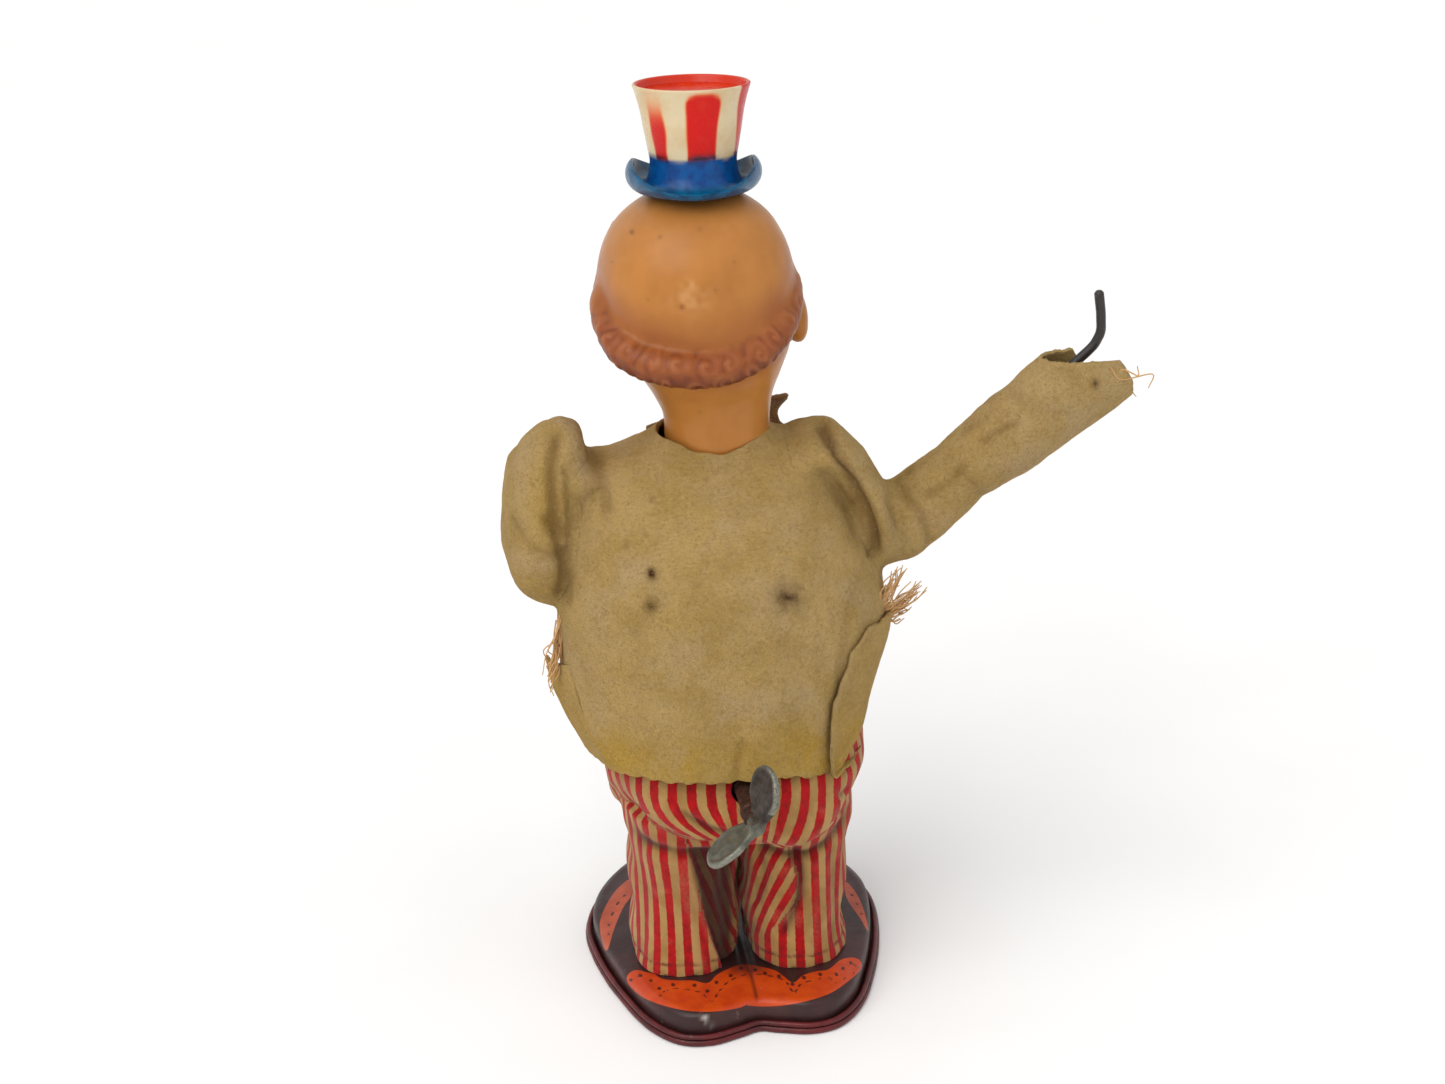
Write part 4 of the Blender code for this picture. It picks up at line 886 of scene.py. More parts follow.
def on_shirt(pts):
    """(angle, height) on the shirt of picture points, found on a fine table."""
    phi, z = np.meshgrid(np.radians(np.linspace(88, 184, 240)), np.linspace(64, 122, 230), indexing="ij")
    uv = view_uv(around(phi.ravel(), z.ravel(), 1.0))
    out = []
    for u, v in pts:
        k = np.argmin(np.hypot(uv[:, 0] - u, uv[:, 1] - v))
        out.append((phi.ravel()[k], z.ravel()[k]))
    return np.array(out)


def flap_right():
    inner_line = on_shirt([(878, 606), (868, 626), (850, 653), (836, 691), (829, 726), (828, 750), (830, 772)])
    outer_line = on_shirt([(874, 672), (866, 697), (857, 726), (846, 752), (838, 770)])
    order_i, order_o = np.argsort(inner_line[:, 1]), np.argsort(outer_line[:, 1])
    rows, marks = [], []
    for z in np.linspace(112.0, 66.0, 62):
        inner = float(np.interp(z, inner_line[order_i, 1], inner_line[order_i, 0]))
        outer = float(np.interp(z, outer_line[order_o, 1], outer_line[order_o, 0]))
        outer = outer + (math.radians(186) - outer) * float(smooth(86, 96, z))
        s = np.linspace(0, 1, 34)
        phi = inner + (max(outer, inner + 0.05) - inner) * s
        p = around(phi, np.full(34, z), 0.0)
        nrm = np.stack([np.cos(phi), np.sin(phi), np.zeros(34)], -1)
        lift = 0.9 + 0.9 * np.exp(-((s / 0.12) ** 2)) + 0.35 * np.sin(s * 5 + z / 9) + 0.5 * smooth(80, 70, z)
        rows.append(p + nrm * (lift + 0.4)[:, None])
        marks.append(s)
    v, f = sheet_grid(rows)
    s = np.concatenate(marks)
    z = v[:, 2]
    low = 69.4 + 0.5 * noise(v, 2.0, 103)
    cut = np.maximum(0.012 + 0.02 * noise(v, 2.4, 101) - s, np.maximum(low - z, z - 107.5 + 9.0 * (s - 0.5) * 0.4 + 0.6 * noise(v, 1.5, 104)) / 40)
    v, f, x = clip(v, f, cut, {"s": s})
    n = normals(v, f)
    if (n * np.array((-0.7, 0.7, 0))).sum() < 0:
        f = [tuple(reversed(g)) for g in f]
        n = -n
    v = v + n * (0.25 * fbm(v, 5, 105))[:, None]
    z = v[:, 2]
    x = {
        "yellow": np.clip(0.35 + 0.45 * smooth(96, 78, z) + 0.2 * noise(v, 6, 107), 0, 1),
        "nap": np.clip(0.5 * np.exp(-((x["s"] / 0.06) ** 2)) + 0.1 + 0.15 * noise(v, 8, 109), 0, 1),
        "hollow": 0.12 * smooth(0.2, 0.6, noise(v, 7, 111)),
        "stain": np.zeros(len(v)),
        "ribs": np.zeros(len(v)),
    }
    return v, f, x


def flap_left():
    rows, marks = [], []
    for z in np.linspace(102.0, 68.0, 54):
        s = np.linspace(0, 1, 36)
        start = math.radians(np.interp(z, [68, 76, 86, 96, 103], [30, 27, 22, 18, 16]))
        end = math.radians(np.interp(z, [68, 76, 86, 96], [10, -6, -12, -14]))
        phi = start + (end - start) * s
        p = around(phi, np.full(36, z), 0.0)
        nrm = np.stack([np.cos(phi), np.sin(phi), np.zeros(36)], -1)
        flare = np.interp(z, [68, 72, 78, 86, 92, 96], [0.6, 1.6, 3.6, 4.9, 5.4, 5.4]) * s ** 1.1
        lift = 0.15 + 0.6 * s + 0.2 * np.sin(s * 7 + z / 6) * s + flare
        p = p + nrm * lift[:, None]
        rows.append(p)
        marks.append(s)
    v, f = sheet_grid(rows)
    s = np.concatenate(marks)
    top = 93.6 + 7.5 * (1 - s) ** 1.3 + 0.5 * noise(v, 2.0, 125)
    low = 74.6 - 2.6 * s + 0.4 * noise(v, 2.0, 123)
    cut = np.maximum(s - (0.985 + 0.02 * noise(v, 2.4, 121)), np.maximum(low - v[:, 2], v[:, 2] - top) / 40)
    v, f, x = clip(v, f, cut, {"s": s})
    n = normals(v, f)
    if (n * np.array((0.7, 0.7, 0))).sum() < 0:
        f = [tuple(reversed(g)) for g in f]
        n = -n
    v = v + n * (0.25 * fbm(v, 5, 125))[:, None]
    x = {
        "yellow": np.clip(0.15 + 0.65 * smooth(0.1, 0.7, x["s"]) + 0.2 * noise(v, 6, 127), 0, 1),
        "nap": np.clip(0.2 * noise(v, 8, 129), 0, 1),
        "hollow": 0.2 * smooth(0.1, 0.7, x["s"]) + 0.1 * smooth(0.2, 0.6, noise(v, 7, 131)),
        "stain": np.zeros(len(v)),
        "ribs": np.zeros(len(v)),
    }
    return v, f, x


flap_r = cloth("shirt_flap_right", flap_right(), 1.0, FELT)
flap_l = cloth("shirt_flap_left", flap_left(), 1.0, FELT)


def threads(name, starts, ends, seed, r=0.2, bend=2.4):
    rng = np.random.default_rng(seed)
    parts = []
    for a, b in zip(starts, ends):
        a, b = np.array(a, float), np.array(b, float)
        k = rng.normal(0, bend, (2, 3))
        k[:, 1] *= 0.6
        pts = curve([a, a + (b - a) * 0.35 + k[0] * 0.6, a + (b - a) * 0.7 + k[1], b], 6)
        radii = np.linspace(r * 1.1, r * 0.6, len(pts))
        v, f = tube(pts, radii, 6)
        parts.append((v, outward(v, f), {}))
    v, f, _ = joined(parts)
    return build(name, v, f, {}, STRAW)


def fan(name, roots, tips, count, seed):
    """Many loose threads between a line of roots and a line of tips."""
    rng = np.random.default_rng(seed)
    a, b = curve(roots, 8), curve(tips, 8)
    starts, ends = [], []
    for _ in range(count):
        t = rng.uniform(0, 1)
        u = np.clip(t + rng.normal(0, 0.16), 0, 1)
        p = a[int(t * (len(a) - 1))] + rng.normal(0, 0.35, 3)
        q = b[int(u * (len(b) - 1))] + rng.normal(0, 0.9, 3)
        starts.append(p)
        ends.append(p + (q - p) * rng.uniform(0.55, 1.05))
    return threads(name, starts, ends, seed, 0.23, 0.9)


tuft_r = fan(
    "thread_tuft_right",
    [(-40.2, 15.5, 109.5), (-41.6, 13.0, 107.4), (-42.6, 10.5, 105.0), (-42.8, 9.0, 102.5)],
    [(-45.4, 13, 119.5), (-48.2, 11, 120.0), (-51.0, 10, 118.0), (-54.2, 9, 115.2), (-54.8, 8, 111.4), (-52.6, 8, 107.6), (-48.6, 8, 103.6)],
    54,
    3,
)
tuft_l = fan(
    "thread_tuft_left",
    [(43.4, 9, 115), (44.4, 8, 112), (44.8, 8, 108), (44.6, 8, 103)],
    [(46.0, 9, 101), (47.4, 8, 97), (48.6, 8, 94), (47.6, 8, 91)],
    26,
    9,
)
cuff_thread = threads(
    "thread_cuff",
    [(-104.6, 12.5, 170.5), (-106.2, 11.5, 168), (-108.6, 8, 165)],
    [(-115.2, 11, 163.6), (-111.6, 12.5, 170.4), (-112.8, 8, 160.4)],
    14,
    0.24,
    1.4,
)


# ---------------------------------------------------------------- trousers
def stripe_look():
    k = Look("striped_cotton", Roughness=0.85, Sheen_Weight=0.12, Specular_IOR_Level=0.2)
    big, mid, fine = k.noise(12.0, 3, 0.6), k.noise(2.4, 4, 0.65), k.noise(0.5, 3, 0.7)
    u = k.attr("u")
    wob = k.math("MULTIPLY", k.math("SUBTRACT", k.noise(1.1, 3), 0.5), 0.10)
    saw = k.math("FRACT", k.math("ADD", u, wob))
    tri = k.math("ABSOLUTE", k.math("SUBTRACT", saw, 0.5))
    red_on = k.ramp(tri, 0.225, 0.265)
    tan = k.mix(k.ramp(big, 0.35, 0.65), rgb(172, 136, 82), rgb(150, 112, 62))
    tan = k.mix(k.math("MULTIPLY", k.ramp(mid, 0.5, 0.8), 0.4), tan, rgb(150, 108, 66))
    red = k.mix(k.ramp(mid, 0.35, 0.7), rgb(172, 4, 10), rgb(138, 3, 8))
    red = k.mix(k.math("MULTIPLY", k.ramp(fine, 0.55, 0.8), 0.35), red, rgb(188, 44, 38))
    colour = k.mix(red_on, tan, red)
    # painted shade: 'hollow' darkens the stripes to near black in folds, the leg recess and round the key hole
    colour = k.mix(k.math("MULTIPLY", k.attr("hollow"), 0.86), colour, rgb(40, 8, 6))
    colour = k.mix(k.math("MULTIPLY", k.attr("stitch"), 0.9), colour, rgb(92, 22, 20))
    colour = k.mix(k.math("MULTIPLY", k.attr("worn"), k.ramp(fine, 0.4, 0.7, 0.2, 0.8)), colour, rgb(190, 140, 104))
    colour = k.mix(k.math("MULTIPLY", k.attr("lining"), 0.5), colour, rgb(120, 70, 50))
    weave = k.math(
        "MULTIPLY",
        k.math("SINE", k.math("MULTIPLY", u, 2 * math.pi * 9)),
        k.math("SINE", k.math("MULTIPLY", k.attr("v"), 2 * math.pi / 0.55)),
    )
    k.bump((k.noise(1.7, 3, 0.6), 0.22), (k.math("MULTIPLY_ADD", weave, 0.5, 0.5), 0.09), (fine, 0.1))
    return k.done(colour, k.ramp(fine, 0.2, 0.8, 0.78, 0.95))


STRIPED = stripe_look()
PITCH_MM = 5.1
HIPS = [
    (42.0, -0.6, 31.0, -22.0, 33.6),
    (50.0, -0.8, 33.6, -25.6, 37.0),
    (58.0, -1.2, 35.2, -27.2, 38.2),
    (68.0, -1.4, 35.8, -27.6, 36.2),
    (79.0, -1.0, 35.2, -27.2, 30.6),
    (86.0, -0.8, 34.0, -26.6, 28.0),
]
SEAT_X = [-36, -29.5, -22.4, -14.1, -6.1, 1.9, 12.7, 23.3, 30.4, 36]
SEAT_Z = [61.5, 57.5, 51.4, 48.2, 51.6, 53.2, 54.2, 57.0, 62.6, 68.6]
LEGS = {
    1: [(4.0, 16.5, 14.5, -9.6, 27.0), (10.0, 16.4, 14.4, -9.8, 26.6), (20.0, 15.6, 14.6, -10.2, 25.4), (34.0, 15.0, 14.8, -12.0, 25.6), (46.0, 14.9, 15.1, -13.6, 27.0), (58.0, 15.2, 15.8, -14.0, 29.0)],
    -1: [(4.0, -15.2, 13.5, -9.6, 29.0), (10.0, -15.2, 13.5, -9.8, 28.6), (20.0, -14.9, 13.9, -10.2, 27.0), (34.0, -15.2, 14.8, -12.0, 26.6), (46.0, -15.9, 15.8, -13.6, 27.4), (58.0, -16.0, 16.2, -14.0, 29.0)],
}


def leg_field(p, side):
    z = p[..., 2]
    cx, hx, front, rear = rings_at(LEGS[side], z)
    mid, half = (front + rear) / 2, (rear - front) / 2
    qx, qy = p[..., 0] - cx, p[..., 1] - mid
    r = (np.abs(qx / hx) ** 2.4 + np.abs(qy / half) ** 2.4) ** (1 / 2.4)
    return smax((r - 1) * np.hypot(qx, qy) / np.maximum(r, 1e-6), np.maximum(z - 58.0, 5.0 - z), 1.0)


def hips_field(p):
    x, y, z = p[..., 0], p[..., 1], p[..., 2]
    body = ring_field(p, HIPS, 2.4)
    low = np.interp(x, SEAT_X, SEAT_Z) * smooth(-6, 22, y) + (1 - smooth(-6, 22, y)) * (46.0 + 0.10 * np.abs(x))
    return smax(body, (low - z) * 0.92, 7.0)


CREASE_L = [(684, 842), (690, 870), (700, 912), (711, 945), (722, 970)]
CREASE_R = [(788, 850), (799, 880), (797, 903), (776, 926), (764, 934)]


def trousers():
    g, low, step = grid((-41, -32, 7), (41, 44, 92), 0.8)
    hips = hips_field(g)
    legs = np.minimum(leg_field(g, 1), leg_field(g, -1))
    field = smin(hips, legs, 1.8)
    v, quads = skin(field, low, step)
    faces = as_faces(quads)
    v = relax(v, faces, 3, 0.6)
    n = normals(v, faces)
    uv, seen = view_uv(v), facing(v, n)
    move, hollow = np.zeros(len(v)), np.zeros(len(v))

    def fold(points, depth, width, dark=0.0):
        nonlocal move, hollow
        d = polyline(uv, curve(points, 6) if len(points) > 2 else points)[0]
        move = move - depth * np.exp(-((d / width) ** 2)) * seen
        # the dark amount is painted shade along the fold, gathered into 'hollow'
        hollow = np.maximum(hollow, dark * np.exp(-((d / (width * 0.8)) ** 2)) * seen)

    # seat and hip folds
    fold([(612, 790), (626, 822), (644, 842), (668, 851), (704, 853), (738, 848)], 1.3, 5.0, 0.6)
    fold([(684, 814), (706, 828), (722, 833), (738, 838)], 1.2, 5.0, 0.5)
    fold([(664, 806), (684, 812), (706, 808)], -0.6, 7.0)
    fold([(760, 846), (782, 854), (802, 856), (828, 842), (850, 812)], 1.3, 5.0, 0.6)
    fold([(770, 828), (792, 840), (818, 832), (840, 806)], -0.7, 8.0)
    fold([(842, 796), (852, 788), (864, 784)], 1.0, 3.4, 0.4)
    fold([(838, 812), (850, 806), (862, 802)], 0.8, 3.2, 0.35)
    fold([(846, 768), (856, 760), (864, 748)], 0.6, 4.0, 0.2)
    # legs
    fold([(688, 860), (694, 884), (704, 920), (716, 956)], -0.9, 4.5)
    fold([(676, 856), (684, 890), (694, 930), (700, 966)], -0.8, 8.0)
    fold([(640, 850), (644, 900), (640, 950)], 0.7, 7.0, 0.1)
    fold([(722, 868), (716, 890), (722, 930)], -0.7, 6.0)
    fold([(796, 852), (802, 876), (798, 904), (784, 932)], 1.6, 5.5, 0.5)
    fold([(812, 860), (816, 900), (812, 950)], -0.7, 8.0)
    fold([(758, 852), (764, 874), (756, 900)], 0.9, 5.0, 0.25)
    fold([(832, 850), (836, 900), (834, 940)], 0.7, 5.0, 0.15)
    fold([(744, 842), (744, 890), (746, 930)], 0.6, 4.0, 0.5)
    # the deep recess in the left leg, right of its front crease, pushed in and given painted shade
    d, along, side = polyline(uv, curve(CREASE_L, 6))
    edge_u = np.interp(uv[:, 1], [842, 870, 912, 945, 970], [684, 690, 700, 711, 722])
    inset = np.where((v[:, 0] > 0.0) & (v[:, 2] < 50) & (uv[:, 1] > 846), smooth(0, 9, uv[:, 0] - edge_u), 0) * seen
    move = move - 2.6 * inset * smooth(846, 862, uv[:, 1])
    hollow = np.maximum(hollow, 1.0 * inset * smooth(846, 856, uv[:, 1]) * smooth(4, 12, uv[:, 0] - edge_u + 4))
    hid = 1 - np.clip(seen * 1.6, 0, 1)
    z = v[:, 2]
    move += hid * 0.7 * np.sin(v[:, 0] * 0.5 + z * 0.34 + 2.2 * noise(v, 17, 201)) * smooth(70, 40, z)
    move += 0.55 * fbm(v, 11, 203) + 0.18 * fbm(v, 4, 205)
    v = v + n * move[:, None]
    v = relax(v, faces, 1, 0.3)
    uv = view_uv(v)
    x, y, z = v.T

    # the stripes: arc length round the hips, and round each leg
    def arc(px, py, hx, hy, power):
        t = np.linspace(-math.pi, math.pi, 721)
        c, s = np.cos(t), np.sin(t)
        ex, ey = hx * np.sign(c) * np.abs(c) ** (2 / power), hy * np.sign(s) * np.abs(s) ** (2 / power)
        run = np.concatenate([[0], np.cumsum(np.hypot(np.diff(ex), np.diff(ey)))])
        a = np.arctan2(np.sign(py) * np.abs(py / hy) ** (power / 2), np.sign(px) * np.abs(px / hx) ** (power / 2))
        return np.interp(a, t, run) - run[540], run[-1]

    s_hip, total = arc(x + 1, y - 4, 35.2, 34.0, 2.4)
    u_hip = s_hip / (total / round(total / PITCH_MM))
    s_l, total = arc(x - 16.8, y - 9, 14.4, 19.2, 2.4)
    u_l = s_l / (total / round(total / PITCH_MM))
    s_r, total = arc(x + 16.5, y - 9, 14.5, 19.4, 2.4)
    u_r = s_r / (total / round(total / PITCH_MM)) + 0.4
    # the cloth twists where it gathers under the seat and at the inner folds
    edge_r = np.interp(uv[:, 1], [850, 880, 903, 926, 940], [788, 799, 797, 776, 756])
    twist_r = ((uv[:, 0] < edge_r) & (uv[:, 0] > 735) & (seen > 0.05)).astype(float)
    u_r = u_r + twist_r * 0.0527 * 0.66 * (np.minimum(uv[:, 1], 935) - 935)
    edge_l = np.interp(uv[:, 1], [842, 870, 912, 945, 970], [684, 690, 700, 711, 722])
    twist_l = ((uv[:, 0] > edge_l + 3) & (seen > 0.05)).astype(float)
    u_l = u_l - twist_l * 0.0527 * 0.55 * (uv[:, 1] - 870)
    on_hips = hips_field(v - n * move[:, None]) < legs_at(v - n * move[:, None]) - 0.2
    lower = uv[:, 1] - np.clip(uv[:, 0] - 640, -20, 90) * 0.16
    left_sweep = np.interp(lower, [782, 796, 806, 815, 822, 828, 836], [0, 2.0, 7.0, 14.0, 24.0, 38.0, 60.0]) * smooth(744, 720, uv[:, 0])
    drop = np.maximum(uv[:, 1] - 772, 0)
    right_sweep = -(0.20 * drop + 9.0 * (drop / 70.0) ** 3) * smooth(752, 782, uv[:, 0])
    u_hip = u_hip * (5.1 / 5.6) - 0.0527 * (5.1 / 5.6) * (left_sweep + right_sweep) * seen + 0.16 * noise(v, 14, 211)
    u = np.where(on_hips, u_hip, np.where(x > 0.2, u_l, u_r) + 0.10 * noise(v, 12, 213))
    # a dashed stitch line round each leg just above the hem, pressed in a little
    hem = 9.75 + 0.12 * np.sin(x * 0.9)
    band = z - (hem + 3.1)
    along = np.where(x > 0, s_l, s_r)
    stitch = np.exp(-((band / 0.26) ** 2)) * (0.35 + 0.65 * (np.mod(along / 2.2, 1.0) < 0.8))
    seam_dent = -0.22 * np.exp(-((band / 0.45) ** 2))
    v = v + n * seam_dent[:, None]
    # painted shadow round the hole where the key shank passes, and painted shade where the cloth was pushed in
    hole = np.hypot((uv[:, 0] - 750) / 7.5, (uv[:, 1] - 786) / 15)
    x_extra = {
        "u": u,
        "v": z + 0.3 * y,
        "hollow": np.clip(spread(hollow, faces, len(v), 1) + 0.9 * smooth(1.35, 0.8, hole) * seen + 0.35 * smooth(0.4, 1.6, -move), 0, 1),
        "stitch": stitch,
        "worn": np.clip(smooth(0.35, 1.2, move) * 0.55 + smooth(0.25, 0.6, fbm(v, 8, 215)) * 0.35, 0, 1),
    }
    s = np.maximum(hem - z, z - 83.0)
    s = np.where((y > 20) & (z > 55), np.maximum(s, 3.6 - np.hypot(x, z - 70.0)), s)
    v, faces, x_extra = clip(v, faces, s, x_extra)
    return largest(v, faces, x_extra)


def legs_at(p):
    return np.minimum(leg_field(p, 1), leg_field(p, -1))


pants = cloth("trousers_cloth", trousers(), 0.75, STRIPED)


# ---------------------------------------------------------------- bow tie
def tie_look():
    k = Look("brown_tie_felt", Sheen_Weight=0.3, Specular_IOR_Level=0.1)
    fine = k.noise(0.45, 4, 0.7)
    colour = k.mix(k.ramp(k.noise(3.0, 3), 0.35, 0.7), rgb(104, 74, 46), rgb(132, 98, 62))
    colour = k.mix(k.math("MULTIPLY", k.ramp(fine, 0.45, 0.7), 0.6), colour, rgb(176, 140, 98))
    k.bump((k.noise(1.2, 3, 0.6), 0.3), (fine, 0.3))
    return k.done(colour, 0.97)


def tie():
    g, low, step = grid((-28, -36.5, 136), (18, -22, 161), 0.6)
    x, y, z = g[..., 0] + 5, g[..., 1] + 28.8, g[..., 2] - 148.0 + 0.15 * g[..., 0]
    s = np.abs(x) / 19.0
    half = 2.4 + 4.2 * np.sin(np.minimum(1, s * 1.25) * math.pi / 2) - 1.6 * np.maximum(0, s - 0.75)
    pleat = 0.5 * np.cos(z * 1.3) * np.exp(-((s - 0.3) / 0.25) ** 2)
    thick = 1.5 - 0.5 * s + pleat + 0.9 * np.exp(-((s / 0.15) ** 2))
    notch = np.abs(x) - (18.6 - 1.6 * np.cos(z * 0.55))
    wing = smax(smax(np.abs(z) - half, np.abs(y + 0.8 * np.sin(z * 0.7) * s) - thick, 1.4), notch, 1.0)
    knot = ball_field(g, (-5, -29.6, 148.8), (3.4, 3.6, 3.9))
    v, q = skin(smin(wing, knot, 1.2), low, step)
    f = as_faces(q)
    v = relax(v, f, 2, 0.5)
    n = normals(v, f)
    v = v + n * (0.35 * fbm(v, 3.0, 301) + 0.18 * noise(v, 1.2, 303))[:, None]
    return v, f, {}


v, f, x = tie()
bow_tie = build("bow_tie_felt", v, f, x, tie_look())


# ---------------------------------------------------------------- printed tin base
SHOE_HALF = [(0, 43.6), (5, 45.2), (14, 47.6), (22.5, 45.4), (30, 36.5), (35.5, 23), (39.8, 8), (42.3, -6), (42.8, -16), (41.2, -25), (37.5, -34), (31.5, -43), (24, -50.5), (14, -55.5), (5, -54.5), (0, -50.5)]
SHOE = curve(SHOE_HALF + [(-a, b) for a, b in reversed(SHOE_HALF[1:-1])], 10, closed=True)


def shoe_offset(inset):
    nxt, prv = np.roll(SHOE, -1, 0), np.roll(SHOE, 1, 0)
    t = nxt - prv
    t /= np.linalg.norm(t, axis=1)[:, None]
    nrm = np.stack([t[:, 1], -t[:, 0]], 1)
    nrm *= np.sign(((np.array((0, -6)) - SHOE) * nrm).sum(1))[:, None]
    for _ in range(3):
        nrm = (np.roll(nrm, 1, 0) + nrm * 2 + np.roll(nrm, -1, 0)) / 4
    nrm /= np.linalg.norm(nrm, axis=1)[:, None]
    return SHOE + nrm * inset


def rim_look():
    k = Look("maroon_rim", Coat_Weight=0.1, Coat_Roughness=0.3, Specular_IOR_Level=0.35)
    wear = k.noise(3.4, 4, 0.7)
    scratch = k.noise(0.7, 3, 0.6, stretch=(1, 1, 0.3))
    colour = k.mix(k.ramp(k.noise(9, 3), 0.35, 0.65), rgb(98, 26, 28), rgb(74, 20, 22))
    colour = k.mix(k.math("MULTIPLY", k.ramp(wear, 0.62, 0.75), k.ramp(scratch, 0.4, 0.6)), colour, rgb(134, 92, 74))
    # painted shade: 'hollow' darkens the groove between the beads and the lip under the top
    colour = k.mix(k.math("MULTIPLY", k.attr("hollow"), 0.8), colour, rgb(34, 14, 14))
    k.bump((scratch, 0.08), (k.noise(4.0, 3), 0.15))
    return k.done(colour, k.ramp(scratch, 0.3, 0.7, 0.32, 0.5), 0.15)


def litho_look():
    k = Look("litho_tin", Coat_Weight=0.12, Coat_Roughness=0.2, Specular_IOR_Level=0.28)
    fine, wear = k.noise(0.45, 3, 0.7), k.noise(5.0, 4, 0.7)
    brown = k.mix(k.ramp(k.noise(14, 3), 0.35, 0.65), rgb(66, 36, 34), rgb(50, 28, 28))
    heel = k.mix(k.ramp(k.noise(6, 3), 0.3, 0.7), rgb(196, 70, 12), rgb(178, 54, 10))
    salmon = k.mix(k.ramp(k.noise(6, 3), 0.3, 0.7), rgb(184, 84, 52), rgb(164, 70, 42))
    dark = rgb(52, 22, 20)
    colour = k.mix(k.ramp(k.attr("heel"), 0.06, -0.06), brown, heel)
    colour = k.mix(k.ramp(k.attr("panel"), 0.06, -0.06), colour, salmon)
    colour = k.mix(k.math("MULTIPLY", k.ramp(k.attr("dots"), 0.08, -0.08), 0.9), colour, dark)
    colour = k.mix(k.math("MULTIPLY", k.ramp(k.attr("dashes"), 0.08, -0.08), 0.85), colour, dark)
    colour = k.mix(k.math("MULTIPLY", k.ramp(k.attr("heel_edge"), 0.1, -0.1), 0.8), colour, dark)
    colour = k.mix(k.math("MULTIPLY", k.ramp(wear, 0.66, 0.76), k.ramp(fine, 0.45, 0.6, 0.0, 0.6)), colour, rgb(150, 130, 118))
    # painted shade: 'hollow' darkens the tin in the groove, at the foot of the wall and under the figure
    colour = k.mix(k.math("MULTIPLY", k.attr("hollow"), 0.75), colour, rgb(24, 14, 14))
    colour = k.mix(k.attr("scratch"), colour, rgb(190, 180, 172))
    k.bump((k.noise(7.0, 3), 0.18), (fine, 0.03))
    return k.done(colour, k.ramp(wear, 0.3, 0.7, 0.34, 0.5), 0.0)


def base_rim():
    """The rolled double bead round the bottom, which holds the plate."""
    prof = []
    for a in np.linspace(math.radians(-150), math.radians(60), 10):
        prof.append((0.85 - 0.85 * math.cos(a) * 1.0 if False else 0.8 - 0.8 * math.cos(a + math.pi / 12), 0.95 + 0.9 * math.sin(a)))
    low = [(0.85 + 0.85 * math.cos(t), 1.0 + 0.95 * math.sin(t)) for t in np.linspace(math.radians(300), math.radians(110), 9)]
    high = [(1.25 + 0.8 * math.cos(t), 2.55 + 0.82 * math.sin(t)) for t in np.linspace(math.radians(235), math.radians(10), 9)]
    prof = low + high + [(2.0, 2.2), (1.9, 1.5)]
    rows = []
    hollow = []
    for k, (inset, z) in enumerate(prof):
        o = shoe_offset(inset)
        rows.append(np.column_stack([o, np.full(len(o), z)]))
        # painted shade: 'hollow' is 1 in the groove between the two beads and under the lip
        hollow.append(np.full(len(o), 1.0 if k in (8, 9) or k >= len(prof) - 2 else 0.0))
    rows.append(rows[0].copy())
    v, f = sheet_grid(rows[:-1], close=True)
    c = len(SHOE)
    r = len(rows) - 1
    f += [((r - 1) * c + j, (r - 1) * c + (j + 1) % c, (j + 1) % c, j) for j in range(c)]
    f = outward(v, f)
    v = v + normals(v, f) * (0.10 * fbm(v, 6, 401))[:, None]
    v[:, 2] = np.maximum(v[:, 2], 0.02)
    return v, f, {"hollow": np.concatenate(hollow)}


def plate():
    """The flat bottom, one sheet with an edge and a pressed ring."""
    rows = []
    for t, z in [(1.0, 0.5), (0.97, 0.25), (0.8, 0.25), (0.74, 0.7), (0.3, 0.7), (0.25, 0.25), (0.02, 0.25)]:
        o = (shoe_offset(1.4) - (0, -6)) * t + (0, -6)
        rows.append(np.column_stack([o, np.full(len(o), z)]))
    top = [r + (0, 0, 0.45) for r in reversed(rows)]
    v, f = sheet_grid(rows + top, close=True)
    c, n = len(SHOE), len(rows) * 2
    f += [((n - 1) * c + j, (n - 1) * c + (j + 1) % c, (j + 1) % c, j) for j in range(c)]
    return v, outward(v, f), {"hollow": np.zeros(len(v))}


HEEL_L_TOP = [(31.7, 19.8), (28.2, 21.1), (24.5, 26.4), (20.9, 26.4), (17.2, 28.6), (13.3, 30.6), (8.1, 25.4), (2.9, 22.8), (0, 23.0)]
HEEL_R_TOP = [(-0.2, 23.4), (-5, 26.6), (-9.8, 34.0), (-13.0, 30.4), (-16, 30.0), (-19.7, 31.6), (-22.2, 30.6), (-25.8, 26.6), (-28.8, 25.4), (-31.2, 29.0)]
HEEL_L_LOW = [(34.4, 22.0), (31.6, 29.6), (27.4, 36.1), (23.2, 40.4), (18.6, 42.4), (13.6, 43.4), (9.3, 43.0), (5.4, 41.6), (2.6, 40.2), (0.0, 39.8)]
HEEL_R_LOW = [(0.0, 41.4), (-3.6, 44.0), (-9.2, 45.0), (-13.0, 45.0), (-16.6, 43.6), (-21.4, 41.4), (-26.1, 37.8), (-29.0, 34.0), (-31.6, 29.4)]
PANEL_L = [(27.4, -33.6), (32.8, -30.4), (36.6, -20.6), (38.4, -6.7), (37.8, 4.0), (36.2, 4.2), (35.6, -1.2), (33.0, -11.6), (29.6, -22.6)]
PANEL_R = [(-31.4, -30.0), (-35.4, -21.6), (-37.4, -11.5), (-37.6, 0), (-36.2, 11.4), (-34.8, 10.6), (-34.2, -2.4), (-32.6, -15.9), (-30.0, -25.0)]


